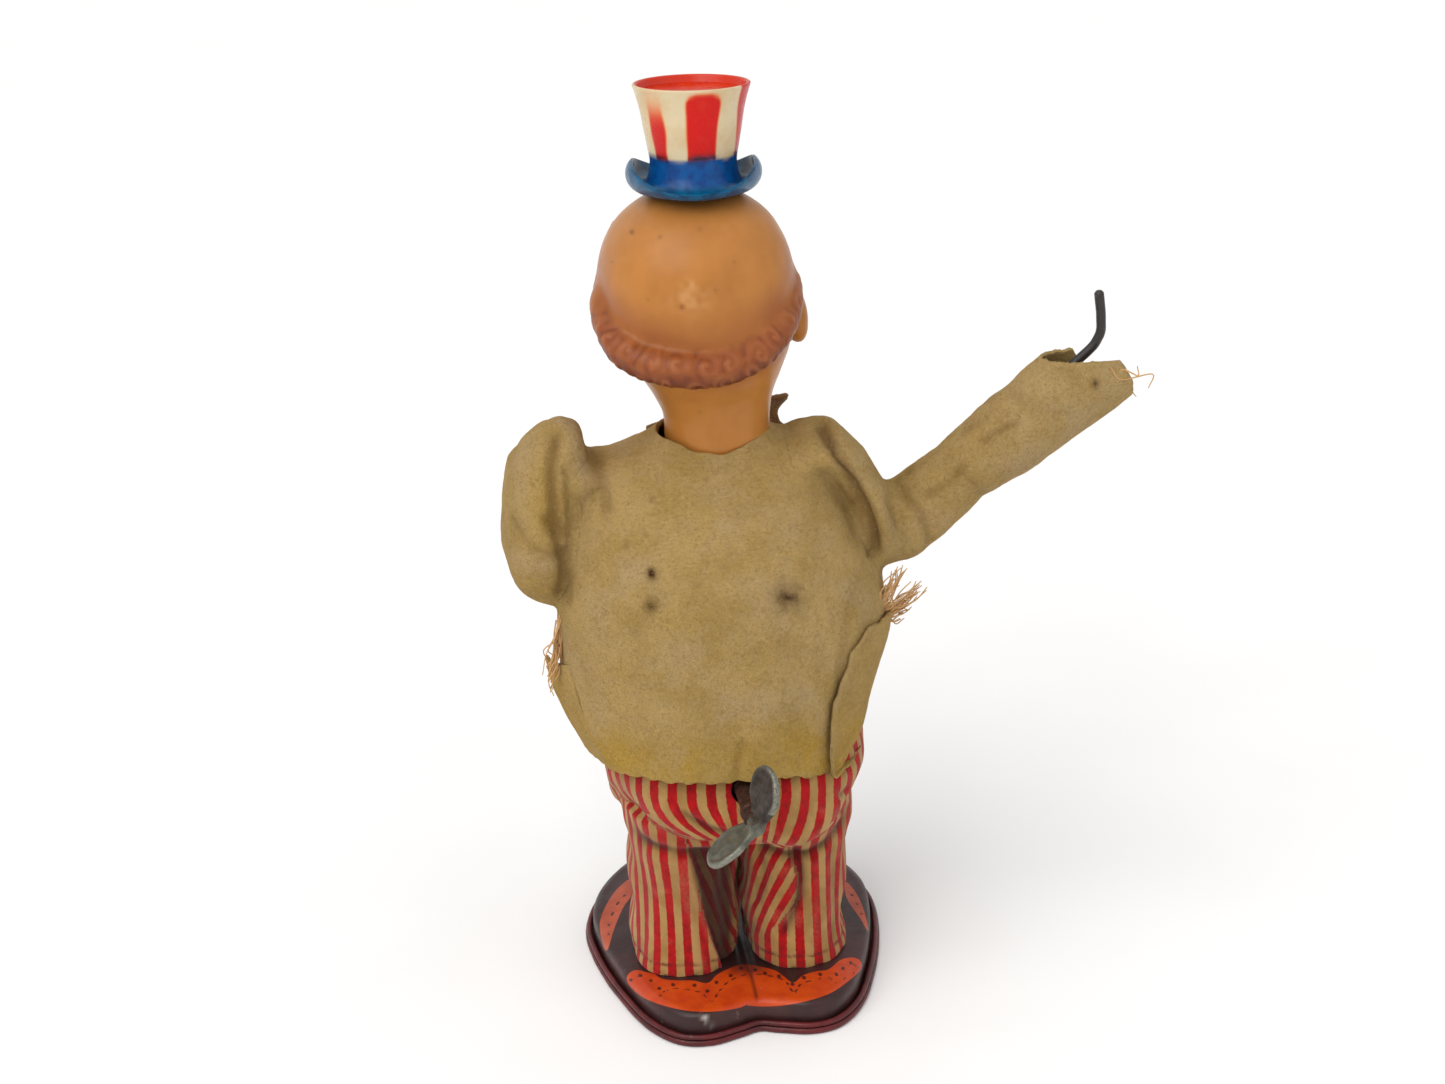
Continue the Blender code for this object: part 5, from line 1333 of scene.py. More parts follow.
def scallops(line, rise):
    """The line cut into rounded scallops."""
    out = []
    pts = curve(line, 10)
    run = np.concatenate([[0], np.cumsum(np.hypot(*np.diff(pts, axis=0).T))])
    for s in np.linspace(0, run[-1], 160):
        x, y = np.interp(s, run, pts[:, 0]), np.interp(s, run, pts[:, 1])
        out.append((x, y - rise * abs(math.sin(s / run[-1] * math.pi * 4.0))))
    return np.array(out)


def base_top():
    levels = [(2.5, 1.6, 1.0), (2.5, 3.2, 1.0), (2.5, 5.0, 1.0), (2.55, 6.6, 1.0), (2.8, 7.7, 1.0), (3.4, 8.5, 0.997), (4.4, 8.95, 0.99)]
    rows = []
    for inset, z, k in levels:
        o = (shoe_offset(inset) - (0, -6)) * k + (0, -6)
        rows.append(np.column_stack([o, np.full(len(o), z)]))
    for t in np.linspace(1.0, 0.02, 64)[1:]:
        o = (shoe_offset(4.4) - (0, -6)) * 0.99 * t + (0, -6)
        rows.append(np.column_stack([o, np.full(len(o), 8.95 + 0.65 * smooth(1.0, 0.8, t))]))
    v, f = sheet_grid(rows, close=True)
    c = len(SHOE)
    n = len(rows)
    f.append(tuple(range((n - 1) * c, n * c)))
    f = outward(v, f)
    nrm = normals(v, f)
    x, y, z = v.T
    flat = smooth(8.2, 9.2, z)
    # the groove that parts the two shoes
    groove = np.exp(-((x / 1.3) ** 2))
    v = v - nrm * ((0.55 * groove + 0.0) * flat)[:, None]
    v = v + nrm * (0.12 * fbm(v, 9, 411))[:, None]
    # the print is laid out on the level of the top, along the lines of sight, so that it wraps over the edge
    d = v - EYE
    q = (EYE + d * ((9.6 - EYE[2]) / d[:, 2])[:, None])[:, :2]

    def ink(points):
        return on_level([(560 + u / 4.612, 740 + w / 4.612) for u, w in points], 9.6)

    top_l = ink([(305, 1108), (318, 1076), (355, 1060), (400, 1072), (432, 1076), (470, 1101), (540, 1109), (612, 1109), (680, 1121), (720, 1086), (762, 1062), (812, 1041), (866, 1033)])
    low_l = ink([(866, 1223), (800, 1241), (700, 1253), (600, 1250), (500, 1231), (400, 1196), (332, 1151), (305, 1108)])
    top_r = ink([(866, 1033), (930, 1046), (990, 1062), (1032, 1090), (1076, 1119), (1120, 1086), (1180, 1067), (1230, 1061), (1262, 1040), (1300, 1011), (1350, 1003), (1384, 1014), (1394, 1042)])
    low_r = ink([(1394, 1042), (1382, 1066), (1330, 1112), (1250, 1166), (1150, 1201), (1040, 1223), (940, 1229), (866, 1225)])
    heel = np.minimum(area_field(q, np.vstack([curve(top_l, 5), curve(low_l, 5)])), area_field(q, np.vstack([curve(top_r, 5), curve(low_r, 5)])))
    panel_l = ink([(330, 640), (270, 680), (222, 745), (186, 830), (188, 900), (214, 976), (250, 870), (290, 775), (330, 712)])
    panel_r = ink([(1318, 652), (1372, 716), (1406, 800), (1422, 884), (1384, 822), (1322, 728)])
    panel = np.minimum(area_field(q, curve(panel_l, 5, True)), area_field(q, curve(panel_r, 5, True)))
    dots = np.full(len(q), 9.0)
    spots = ink([(327, 1106), (370, 1086), (420, 1110), (458, 1146), (522, 1129), (620, 1131), (680, 1158), (722, 1118), (787, 1086), (835, 1052), (900, 1060), (945, 1076), (1010, 1089), (1072, 1126), (1125, 1096), (1200, 1081), (1275, 1081), (1305, 1053), (1340, 1029), (1375, 1048)])
    for cx, cy in spots:
        dots = np.minimum(dots, np.hypot(q[:, 0] - cx, (q[:, 1] - cy) * 0.62) - 0.62)
    for ends in (((300, 714), (292, 722)), ((270, 748), (262, 760)), ((244, 796), (239, 808)), ((228, 846), (225, 858)), ((222, 890), (222, 902)), ((1344, 712), (1350, 720)), ((1368, 752), (1373, 762)), ((1388, 796), (1392, 806))):
        dots = np.minimum(dots, polyline(q, ink(ends))[0] - 0.42)
    dashes = np.full(len(q), 9.0)
    for line in (
        [(325, 1121), (345, 1116), (372, 1128), (412, 1152), (450, 1183), (482, 1160), (520, 1147), (580, 1150), (650, 1166), (698, 1206), (726, 1172), (760, 1128), (802, 1100), (866, 1078)],
        [(884, 1080), (960, 1086), (1040, 1112), (1078, 1168), (1110, 1126), (1180, 1104), (1240, 1096), (1282, 1122), (1312, 1100), (1386, 1056)],
    ):
        d, along, _ = polyline(q, curve(ink(line), 5))
        dashes = np.minimum(dashes, np.maximum(d - 0.36, (0.36 - np.mod(along / 3.2, 1.0)) * 3.2))
    edge = np.full(len(q), 9.0)
    flat = smooth(3.4, 5.2, z)
    off = 1 - flat
    # painted shade: the groove between the shoes, the foot of the side wall, and a patch between the legs
    hollow = np.clip(np.exp(-(((x) / 0.5) ** 2)) * smooth(8, 9, z) * 0.9 + 0.5 * smooth(4.0, 1.6, z) + 0.9 * np.exp(-((x / 6.0) ** 4)) * smooth(31, 25, y) * smooth(-14, -8, y), 0, 1)
    scratch = np.zeros(len(q))
    uv = view_uv(v)
    for a, b in (((701, 1016), (708, 1019)), ((706, 1023), (712, 1024))):
        scratch = np.maximum(scratch, np.exp(-((polyline(uv, [a, b])[0] / 1.5) ** 2)))
    return v, f, {"heel": heel + off * 9, "panel": panel + off * 9, "dots": dots + off * 9, "dashes": dashes + off * 9, "heel_edge": edge, "hollow": hollow, "scratch": scratch * 0.8}


v, f, x = joined([base_rim(), plate()])
rim = build("base_rolled_rim", v, f, x, rim_look(), 50)
v, f, x = base_top()
v, f, x = thicken(v, f, x, 0.5)
tin_top = build("base_printed_top", v, f, x, litho_look(), 60)


# ---------------------------------------------------------------- head
TURN = 0.2618
HEAD = [
    (149.0, 0, 13.6, -13.6, 13.6),
    (158.0, 0, 13.7, -13.7, 13.5),
    (164.5, 0, 14.0, -14.4, 13.6),
    (170.0, 0, 15.6, -18.4, 15.2),
    (175.5, 0, 18.2, -23.4, 18.4),
    (182.0, 0, 21.6, -27.0, 21.6),
    (189.0, 0, 24.0, -29.0, 23.6),
    (196.0, 0, 24.9, -29.6, 24.4),
    (203.0, 0, 24.7, -29.2, 24.4),
    (210.0, 0, 22.8, -27.2, 22.6),
    (216.0, 0, 19.2, -23.2, 18.6),
    (220.5, 0, 13.8, -17.2, 12.8),
    (223.6, 0, 7.2, -9.8, 5.6),
]


def head_shift(z):
    return np.interp(z, [150, 158, 165, 175, 184, 194, 204, 213, 224], [-1.0, -1.4, -1.6, -0.6, 0.8, 1.6, 1.8, 1.7, 0.9])


def to_head(p):
    """From the toy's frame into the head's own, where the face looks along -y."""
    x, y = p[..., 0] - head_shift(p[..., 2]), p[..., 1]
    c, s = math.cos(TURN), math.sin(TURN)
    return np.stack([x * c + y * s, -x * s + y * c, p[..., 2]], -1)


HAIR = curve([(22.8, -10, 198.0), (24.9, -2, 195.2), (25.5, 5.5, 191.4), (24.0, 13.0, 187.8), (19.4, 19.0, 185.2), (12.6, 23.4, 183.8), (4.0, 24.4, 182.8), (-4.8, 23.2, 183.6), (-12.6, 19.2, 186.4), (-17.6, 14.2, 190.0), (-20.4, 8.4, 193.8), (-21.2, 3.0, 196.8)], 4)


def hair_field(p, radius=4.2):
    s = np.array((1.0, 1.0, 0.86))
    best = np.full(p.shape[:-1], 1e9)
    q = p * s
    h = HAIR * s
    for i in range(len(h) - 1):
        a, ab = h[i], h[i + 1] - h[i]
        t = np.clip(((q - a) @ ab) / (ab @ ab), 0, 1)
        best = np.minimum(best, np.linalg.norm(q - (a + t[..., None] * ab), axis=-1))
    return best - radius


def hair_place(v):
    """Along the roll, and above or below its middle line."""
    best = np.full(len(v), 1e9)
    along, high = np.zeros(len(v)), np.zeros(len(v))
    run = 0.0
    for a, b in zip(HAIR[:-1], HAIR[1:]):
        ab = b - a
        length = np.linalg.norm(ab)
        t = np.clip(((v - a) @ ab) / length**2, 0, 1)
        q = a + t[:, None] * ab
        d = np.linalg.norm(v - q, axis=1)
        near = d < best
        best[near], along[near], high[near] = d[near], (run + t * length)[near], (v[:, 2] - q[:, 2])[near]
        run += length
    return along, high, run


LIPS_UP = [(-11.4, -24.6, 185.2), (-7.4, -28.8, 182.2), (-3.0, -31.0, 181.2), (0, -31.2, 180.6), (3.0, -31.0, 181.2), (7.4, -28.8, 182.2), (11.4, -24.6, 185.2)]
LIPS_LOW = [(-11.4, -24.6, 185.2), (-7.8, -28.0, 179.6), (-3.4, -30.2, 177.2), (0, -30.6, 176.6), (3.4, -30.2, 177.2), (7.8, -28.0, 179.6), (11.4, -24.6, 185.2)]
BROWS = {s: [(s * 4.6, -29.6, 207.6), (s * 8.0, -29.4, 210.2), (s * 11.8, -27.6, 210.0), (s * 15.0, -24.8, 206.8)] for s in (1, -1)}
EYES = {s: (s * 8.9, -25.6, 199.2) for s in (1, -1)}


def face_fields(p):
    h = to_head(p)
    mirrored = np.stack([np.abs(h[..., 0]), h[..., 1], h[..., 2]], -1)
    eared = np.stack([np.abs(h[..., 0] + 1.7), h[..., 1], h[..., 2]], -1)
    out = {
        "nose": ball_field(h, (0, -31.6, 192.4), (4.7, 4.7, 4.5)),
        "cheek": ball_field(mirrored, (14.2, -21.6, 187.4), (7.0, 6.6, 6.2)),
        "chin": ball_field(h, (0, -22.2, 173.4), (7.6, 6.4, 5.4)),
        "muzzle": ball_field(h, (0, -23.6, 181.4), (13.2, 7.4, 8.6)),
        "lips": np.minimum(tube_field(h, curve(LIPS_UP, 3), np.interp(np.linspace(0, 1, 19), [0, 0.25, 0.5, 0.75, 1], [0.7, 1.5, 1.7, 1.5, 0.7])), tube_field(h, curve(LIPS_LOW, 3), np.interp(np.linspace(0, 1, 19), [0, 0.3, 0.5, 0.7, 1], [0.7, 1.6, 2.0, 1.6, 0.7]))),
        "brow": tube_field(mirrored, curve(BROWS[1], 4), np.interp(np.linspace(0, 1, 13), [0, 0.5, 1], [1.3, 1.25, 0.6])),
        "eye": ball_field(mirrored, EYES[1], (4.6, 4.8, 5.0)),
        "lid": tube_field(mirrored, [(4.2, -27.2, 199.2), (5.6, -29.6, 202.6), (9.2, -30.2, 204.2), (12.8, -28.4, 202.2), (14.0, -25.2, 198.8)], (0.7, 0.9, 1.0, 0.9, 0.6)),
        "ear": ball_field(np.stack([np.where(h[..., 0] > 0, np.abs(h[..., 0] + 1.7), np.abs(h[..., 0] + 0.9)), h[..., 1] + np.where(h[..., 0] > 0, 4.5, 0.0), h[..., 2] - np.where(h[..., 0] > 0, 4.0, 0.0)], -1), (25.4, -1.6, 186.6), (3.6, 5.6, 8.2)),
        "ear_cup": ball_field(np.stack([np.where(h[..., 0] > 0, np.abs(h[..., 0] + 1.7), np.abs(h[..., 0] + 0.9)), h[..., 1] + np.where(h[..., 0] > 0, 4.5, 0.0), h[..., 2] - np.where(h[..., 0] > 0, 4.0, 0.0)], -1), (29.0, -3.4, 186.8), (2.4, 3.2, 5.4)),
        "smile": tube_field(mirrored, [(12.6, -23.6, 186.6), (14.0, -21.8, 189.0), (13.6, -22.4, 191.0)], (0.5, 0.5, 0.3)),
    }
    return h, out


def head():
    g, low, step = grid((-34, -40, 150), (37, 33, 226), 0.66)
    h, part = face_fields(g)
    body = ring_field(h, HEAD, 2.12)
    field = smin(body, part["cheek"], 6.0)
    field = smin(field, part["chin"], 6.0)
    field = smin(field, part["muzzle"], 4.0)
    field = smin(field, part["nose"], 1.2)
    field = smax(field, -(ball_field(np.stack([np.abs(h[..., 0]), h[..., 1], h[..., 2]], -1), (8.9, -31.6, 199.4), (5.4, 4.0, 5.6))), 2.6)
    field = smin(field, part["eye"], 0.5)
    field = smin(field, part["lid"], 0.9)
    field = smin(field, part["brow"], 1.2)
    field = smin(field, part["lips"], 0.9)
    field = smax(field, -part["smile"], 1.0)
    ear = smax(part["ear"], -part["ear_cup"], 1.4)
    field = smin(field, ear, 4.6)
    field = smin(field, hair_field(g, 3.7), 3.0)
    v, q = skin(field, low, step)
    faces = as_faces(q)
    v = relax(v, faces, 2, 0.5)
    n = normals(v, faces)
    hair = smooth(1.7, -1.1, hair_field(v, 4.3) + 0.5 * noise(v, 2.6, 527))
    along, high, length = hair_place(v)
    along = along + 0.9 * noise(v, 4.0, 523)
    high = high + 0.8 * noise(v, 4.0, 525)
    curl = np.zeros(len(v))
    rng = np.random.default_rng(7)
    k = 0
    for s in np.arange(2.0, length, 6.6):
        for row in (-2.5, 2.3):
            cs, ch = s + (3.2 if row > 0 else 0) + rng.normal(0, 0.7), row + rng.normal(0, 0.6)
            d = np.hypot(along - cs, (high - ch) * 0.92)
            a = np.arctan2(high - ch, along - cs)
            turn = 1 if k % 2 else -1
            k += 1
            spiral = 0.5 + 0.5 * np.cos(2 * np.pi * d / rng.uniform(2.2, 3.2) - a * turn + rng.uniform(0, 6))
            curl = np.maximum(curl, (0.3 + 0.7 * spiral) * np.exp(-((d / rng.uniform(3.2, 4.4)) ** 2)))
    curl = curl + 0.10 * np.cos(along * 2.1 + 1.3 * np.sin(high)) * np.exp(-((high / 5) ** 2))
    v = v + n * (hair * (0.55 * curl - 0.25 + 0.22 * fbm(v, 3.2, 521)))[:, None]
    v = v + n * (0.10 * fbm(v, 14, 501) * (1 - hair))[:, None]
    h, part = face_fields(v)
    uv = view_uv(v)
    n = normals(v, faces)
    seen = facing(v, n)
    front = smooth(-4, -12, h[:, 1])
    spots = np.zeros(len(v))
    for cx, cy, r, amount in ((592, 316, 2.4, 0.9), (632, 232, 2.4, 0.7), (660, 237, 1.8, 0.55), (682, 307, 2.4, 0.6), (700, 229, 2.6, 0.25), (648, 300, 1.8, 0.3), (734, 262, 1.8, 0.25), (716, 290, 2.0, 0.3), (612, 262, 1.6, 0.3), (700, 412, 1.8, 0.3)):
        spots = np.maximum(spots, amount * np.exp(-((np.hypot(uv[:, 0] - cx, uv[:, 1] - cy) / r) ** 2)) * seen)
    rings = np.zeros(len(v))
    for cx, cy, r, amount in ((700, 230, 6.0, 0.3), (725, 230, 6.0, 0.25), (694, 302, 14.0, 0.35)):
        d = np.hypot(uv[:, 0] - cx, (uv[:, 1] - cy) * 1.15) + 2.6 * noise(v, 1.3, 511)
        rings = np.maximum(rings, np.exp(-(((d - r) / 2.2) ** 2)) * seen * amount * smooth(-0.4, 0.5, noise(v, 2.4, 512)))
    pale = np.exp(-((np.hypot((uv[:, 0] - 692 + 6 * noise(v, 3.0, 514)) / 18, (uv[:, 1] - 296 + 6 * noise(v, 3.0, 516)) / 15)) ** 2)) * seen * (0.5 + 0.9 * noise(v, 1.4, 513))
    over = smooth(11.0, 0.0, hair_field(v, 4.2)) * smooth(-1.0, 1.5, high) * (1 - hair)
    under = smooth(5.5, 0.5, hair_field(v, 4.2)) * smooth(1.0, -1.5, high) * (1 - hair)
    vents = smooth(-1, 1.0, high)
    x = {
        "hair": hair,
        # painted shade on the downward-facing underside of the hair roll
        "hair_low": np.clip(smooth(1.5, -3.6, high), 0, 1) * hair,
        "curl": np.clip(curl, 0, 1),
        "shade": np.clip(over * 0.85 * (0.8 + 0.3 * noise(v, 6, 515)) + under * 0.45, 0, 1),
        "spots": spots,
        "rings": rings,
        "pale": np.clip(pale, 0, 1),
        # rises towards the top of the head, for a painted highlight there
        "crown": smooth(196, 218, v[:, 2]),
        "nose": part["nose"],
        "cheek": part["cheek"] + 9 * (1 - front),
        "lips": part["lips"] + 9 * (1 - front),
        "muzzle": ball_field(h, (0, -25.0, 181.4), (14.6, 10.0, 8.4)) + 9 * (1 - front) + 0.25 * noise(v, 4, 517),
        "brow": part["brow"] + 9 * (1 - front),
        "eye": np.hypot(np.hypot(np.abs(h[:, 0]) - 8.9, h[:, 2] - 199.2) - 0.0, 0) + 9 * (1 - front),
        "gaze": np.hypot(np.abs(h[:, 0]) - 8.3, h[:, 2] - 198.9) + 9 * (1 - front),
        "glint": np.hypot(np.abs(np.abs(h[:, 0]) - 8.3), h[:, 2] - 200.3) + 9 * (1 - front),
        "lid": part["lid"] + 9 * (1 - front),
        "ear_cup": np.clip(smooth(1.0, -0.3, part["ear_cup"]), 0, 1),
    }
    v, faces, x = clip(v, faces, 152.3 - v[:, 2], x)
    v, faces, x = largest(v, faces, x)
    return v, faces, x


def vinyl_look():
    k = Look("tan_vinyl", Coat_Weight=0.06, Coat_Roughness=0.4, Specular_IOR_Level=0.22, Subsurface_Weight=0.1, Subsurface_Scale=0.0025)
    k.bsdf.inputs["Subsurface Radius"].default_value = (1.0, 0.45, 0.2)
    big, mid, fine = k.noise(16.0, 3, 0.55), k.noise(3.4, 4, 0.6), k.noise(0.6, 3, 0.65)
    colour = k.mix(k.ramp(big, 0.35, 0.65), rgb(180, 118, 54), rgb(166, 106, 46))
    # painted highlight: the top of the head is made lighter
    colour = k.mix(k.math("MULTIPLY", k.attr("crown"), 0.3), colour, rgb(190, 130, 70))
    colour = k.mix(k.math("MULTIPLY", k.ramp(mid, 0.5, 0.75), 0.22), colour, rgb(172, 102, 46))
    colour = k.mix(k.math("MULTIPLY", k.attr("pale"), 0.45), colour, rgb(216, 166, 110))
    colour = k.mix(k.math("MULTIPLY", k.attr("rings"), 0.55), colour, rgb(168, 104, 62))
    colour = k.mix(k.math("MULTIPLY", k.attr("shade"), 0.95), colour, rgb(138, 66, 28))
    # painted shade: the lower half of the hair roll goes darker
    hair = k.mix(k.attr("hair_low"), rgb(138, 72, 36), rgb(90, 34, 18))
    # painted highlight on the tops of the curls, and painted shade in the hollows between them
    hair = k.mix(k.ramp(k.attr("curl"), 0.45, 0.95, 0.0, 0.4), hair, rgb(170, 102, 60))
    hair = k.mix(k.ramp(k.attr("curl"), 0.38, 0.10, 0.0, 0.6), hair, rgb(98, 42, 26))
    colour = k.mix(k.attr("hair"), colour, hair)
    # the painted face
    colour = k.mix(k.ramp(k.attr("cheek"), 0.9, -1.6, 0.0, 0.55), colour, rgb(214, 92, 62))
    colour = k.mix(k.ramp(k.attr("muzzle"), 0.3, -0.3, 0.0, 0.92), colour, rgb(236, 214, 178))
    colour = k.mix(k.ramp(k.attr("lips"), 0.22, -0.02), colour, rgb(178, 34, 34))
    colour = k.mix(k.ramp(k.attr("nose"), 0.42, 0.12), colour, rgb(196, 42, 34))
    colour = k.mix(k.ramp(k.attr("brow"), 0.24, 0.0), colour, rgb(92, 44, 28))
    colour = k.mix(k.ramp(k.attr("eye"), 4.15, 3.85), colour, rgb(240, 234, 220))
    colour = k.mix(k.ramp(k.attr("gaze"), 2.45, 2.25), colour, rgb(58, 96, 132))
    colour = k.mix(k.ramp(k.attr("gaze"), 1.45, 1.25), colour, rgb(20, 16, 16))
    colour = k.mix(k.ramp(k.attr("glint"), 0.6, 0.4), colour, rgb(250, 248, 240))
    colour = k.mix(k.ramp(k.attr("lid"), 0.16, 0.0, 0.0, 0.85), colour, rgb(110, 58, 34))
    # painted shade inside the ear's cup
    colour = k.mix(k.math("MULTIPLY", k.attr("ear_cup"), 0.45), colour, rgb(150, 76, 42))
    colour = k.mix(k.attr("spots"), colour, rgb(84, 44, 24))
    k.bump((k.noise(2.6, 3, 0.5), 0.05), (fine, 0.03))
    return k.done(colour, k.ramp(k.math("ADD", k.math("MULTIPLY", mid, 0.6), k.math("MULTIPLY", k.attr("hair"), 0.25)), 0.2, 0.7, 0.30, 0.48))


v, f, x = head()
v, f, x = thicken(v, f, x, 1.3)
head_obj = build("vinyl_head", v, f, x, vinyl_look())


# ---------------------------------------------------------------- hat
def hat():
    prof = [(0.05, 225.6, 0), (6, 225.2, 0), (10.0, 224.2, 0), (12.4, 222.9, 0.0), (14.2, 222.75, 0.20), (16.2, 222.85, 0.62), (17.5, 223.1, 0.93), (18.05, 223.5, 1.03), (18.0, 224.0, 1.05), (17.4, 224.25, 1.0), (16.0, 224.2, 0.74), (14.4, 224.3, 0.32), (12.8, 225.0, 0.1), (11.9, 226.4, 0.02), (11.3, 228.4, 0), (11.1, 231.0, 0), (11.7, 234.5, 0), (12.5, 239.0, 0), (13.3, 243.8, 0), (14.35, 247.8, 0), (14.92, 249.5, 0), (14.85, 249.95, 0), (14.4, 250.05, 0), (13.9, 249.8, 0), (13.6, 249.0, 0), (13.3, 248.2, 0), (12.9, 247.9, 0), (9.0, 247.75, 0), (4.0, 247.8, 0), (0.05, 247.85, 0)]
    p = curve(prof, 4)
    n = 168
    a = 2 * np.pi * np.arange(n) / n
    side = np.abs(np.cos(a)) ** 2.0
    reach = np.sqrt(np.clip(side, 0, 1))
    rows, phi_rows, s_rows = [], [], []
    c, s = math.cos(-0.10), math.sin(-0.10)
    for i, (r, z, lf) in enumerate(p):
        # at the sides the brim rolls up and over in a scroll; front and back it lies almost flat
        start = 12.2
        out = r - start
        if 3.0 < i / 4.0 < 12.6 and out > 0:
            turn = side * 2.12 + 0.18
            radius = (6.6 + 4.6 * side) / turn
            a1 = np.clip(out / 5.85, 0, 1.0) * turn
            inner = 1.0 if i / 4.0 > 8.2 else 0.0
            rad = radius - 0.0 * inner
            rr = start + rad * np.sin(a1)
            zz = z + rad * (1 - np.cos(a1)) - side * 0.3 * np.clip(out / 3, 0, 1)
            # keep the sheet's thickness on the inside of the scroll
            shift = (z - 223.2) * side * np.clip(out / 2, 0, 1)
            rr = rr - shift * np.sin(a1)
            zz = zz - shift * (1 - np.cos(a1))
            lift = zz - z
        else:
            rr = np.full(n, r)
            lift = np.zeros(n)
        lx, ly = rr * np.cos(a), rr * np.sin(a)
        x, y = lx * c - ly * s + 0.5, lx * s + ly * c - 2.5
        # the hat sits a little tipped on the head
        zt = z + lift - 224.0
        x, y, zt = x - zt * 0.030 + 0.5, y - zt * 0.048, zt + x * 0.030 + (y + 2.5) * 0.048
        rows.append(np.column_stack([x, y, zt + 224.0]))
        phi_rows.append(np.arctan2(rr * np.sin(a) * c + rr * np.cos(a) * s, rr * np.cos(a) * c - rr * np.sin(a) * s))
        s_rows.append(np.full(n, i / 4.0))
    v, f = sheet_grid(rows, close=True)
    m = len(rows)
    f.append(tuple(range(n)))
    f.append(tuple(reversed(range((m - 1) * n, m * n))))
    f = outward(v, f)
    phi = np.degrees(np.concatenate(phi_rows)) - 83.6
    phi = (phi + 180) % 360 - 180
    lv = np.concatenate(s_rows)
    z = v[:, 2]
    crown = (lv > 12.0) & (lv < 22.3)
    level = np.interp(lv, np.arange(len(prof)), [q[1] for q in prof])
    wob = 2.0 * noise(v, 6, 601)
    red = np.zeros(len(v))
    weak = np.zeros(len(v))
    hue = np.zeros(len(v))
    for centre, half, slant, strength, tone in ((-44, 11, 0.0, 0.85, 0.35), (11, 17.5, -0.1, 1.0, 0.0), (80, 17, 0.5, 0.95, 1.0), (137, 15, -0.4, 0.95, 0.2), (-166, 17, 0.3, 1.0, 0.0), (-108, 14, 0.6, 0.9, 0.5)):
        mid = centre + slant * (238 - level)
        d = np.abs((phi - mid + 180) % 360 - 180)
        edge = smooth(half + 4.0, half - 4.0, d + wob)
        got = edge * strength
        fade = smooth(250.2, 247.0, level + 0.10 * np.maximum(0, d - 8)) * 0.9 + 0.1
        if centre == -44:
            fade = smooth(250, 238, level) * 0.8 + 0.2
        if centre == 80:
            fade = 1.0
        got = got * fade
        better = got > red
        red = np.maximum(red, got)
        hue[better] = tone
    blue_top = 232.5 + 0.55 * np.sin(np.radians(phi) * 5 + 1) + 0.5 * noise(v, 4, 603)
    blue = np.where(lv < 12.0, 1.0, smooth(0.5, -0.5, level - blue_top))
    blue[lv > 22] = 0
    smear = np.exp(-(((level - blue_top) / 0.85) ** 2)) * smooth(0.15, 0.6, red) * (lv > 12) * (lv < 20)
    brim = smooth(13.2, 11.6, lv)
    edge = np.exp(-(((lv - 7.9) / 0.9) ** 2))
    inside_curl = smooth(0.45, 0.95, np.abs(np.cos(np.tile(a, m)))) * smooth(8.6, 9.6, lv) * smooth(12.6, 11.2, lv)
    disc = smooth(21.4, 22.4, lv)
    well = smooth(24.0, 26.5, lv)
    # a thin line along the upper face of the brim, front and back, for a painted highlight
    line = np.exp(-(((lv - 10.4) / 0.35) ** 2)) * (1 - inside_curl)
    x = {"red": red * crown, "hue": hue, "blue": blue, "smear": smear, "teal": brim, "worn": inside_curl, "edge": edge, "disc": disc, "well": well, "line": line}
    return v, f, x


def hat_look():
    k = Look("hat_vinyl", Coat_Weight=0.08, Coat_Roughness=0.12, Specular_IOR_Level=0.2)
    mid, fine = k.noise(3.0, 4, 0.6), k.noise(0.6, 3, 0.65)
    cream = k.mix(k.ramp(k.noise(8.0, 3), 0.35, 0.7), rgb(212, 194, 158), rgb(204, 178, 136))
    cream = k.mix(k.ramp(fine, 0.66, 0.8, 0.0, 0.3), cream, rgb(190, 160, 120))
    red = k.mix(k.attr("hue"), rgb(202, 10, 2), rgb(186, 36, 36))
    red = k.mix(k.ramp(mid, 0.5, 0.75, 0.0, 0.25), red, rgb(210, 62, 24))
    weak = k.mix(k.ramp(k.attr("red"), 0.15, 0.85), rgb(224, 132, 76), red)
    colour = k.mix(k.ramp(k.attr("red"), 0.06, 0.62), cream, weak)
    disc = k.mix(k.ramp(k.noise(5.0, 3), 0.35, 0.65), rgb(212, 56, 18), rgb(198, 42, 14))
    disc = k.mix(k.attr("well"), rgb(204, 54, 30), disc)
    colour = k.mix(k.attr("disc"), colour, disc)
    deep = k.mix(k.ramp(mid, 0.35, 0.7), rgb(6, 80, 146), rgb(4, 56, 120))
    teal = k.mix(k.ramp(mid, 0.35, 0.7), rgb(3, 84, 122), rgb(3, 62, 98))
    blue = k.mix(k.attr("teal"), deep, teal)
    # painted highlight: a light line along the brim
    blue = k.mix(k.math("MULTIPLY", k.attr("line"), 0.5), blue, rgb(60, 168, 200))
    colour = k.mix(k.attr("blue"), colour, blue)
    colour = k.mix(k.math("MULTIPLY", k.attr("smear"), k.ramp(mid, 0.3, 0.55, 0.5, 1.0)), colour, rgb(48, 22, 20))
    worn = k.mix(k.ramp(mid, 0.4, 0.65), rgb(96, 104, 104), rgb(58, 66, 70))
    colour = k.mix(k.math("MULTIPLY", k.attr("worn"), k.ramp(mid, 0.35, 0.55, 0.25, 0.95)), colour, worn)
    colour = k.mix(k.math("MULTIPLY", k.attr("edge"), k.ramp(mid, 0.45, 0.65, 0.1, 0.7)), colour, rgb(16, 34, 52))
    k.bump((k.noise(2.0, 3, 0.5), 0.05), (fine, 0.02))
    return k.done(colour, k.ramp(mid, 0.3, 0.7, 0.24, 0.36))


v, f, x = hat()
hat_obj = build("top_hat", v, f, x, hat_look())


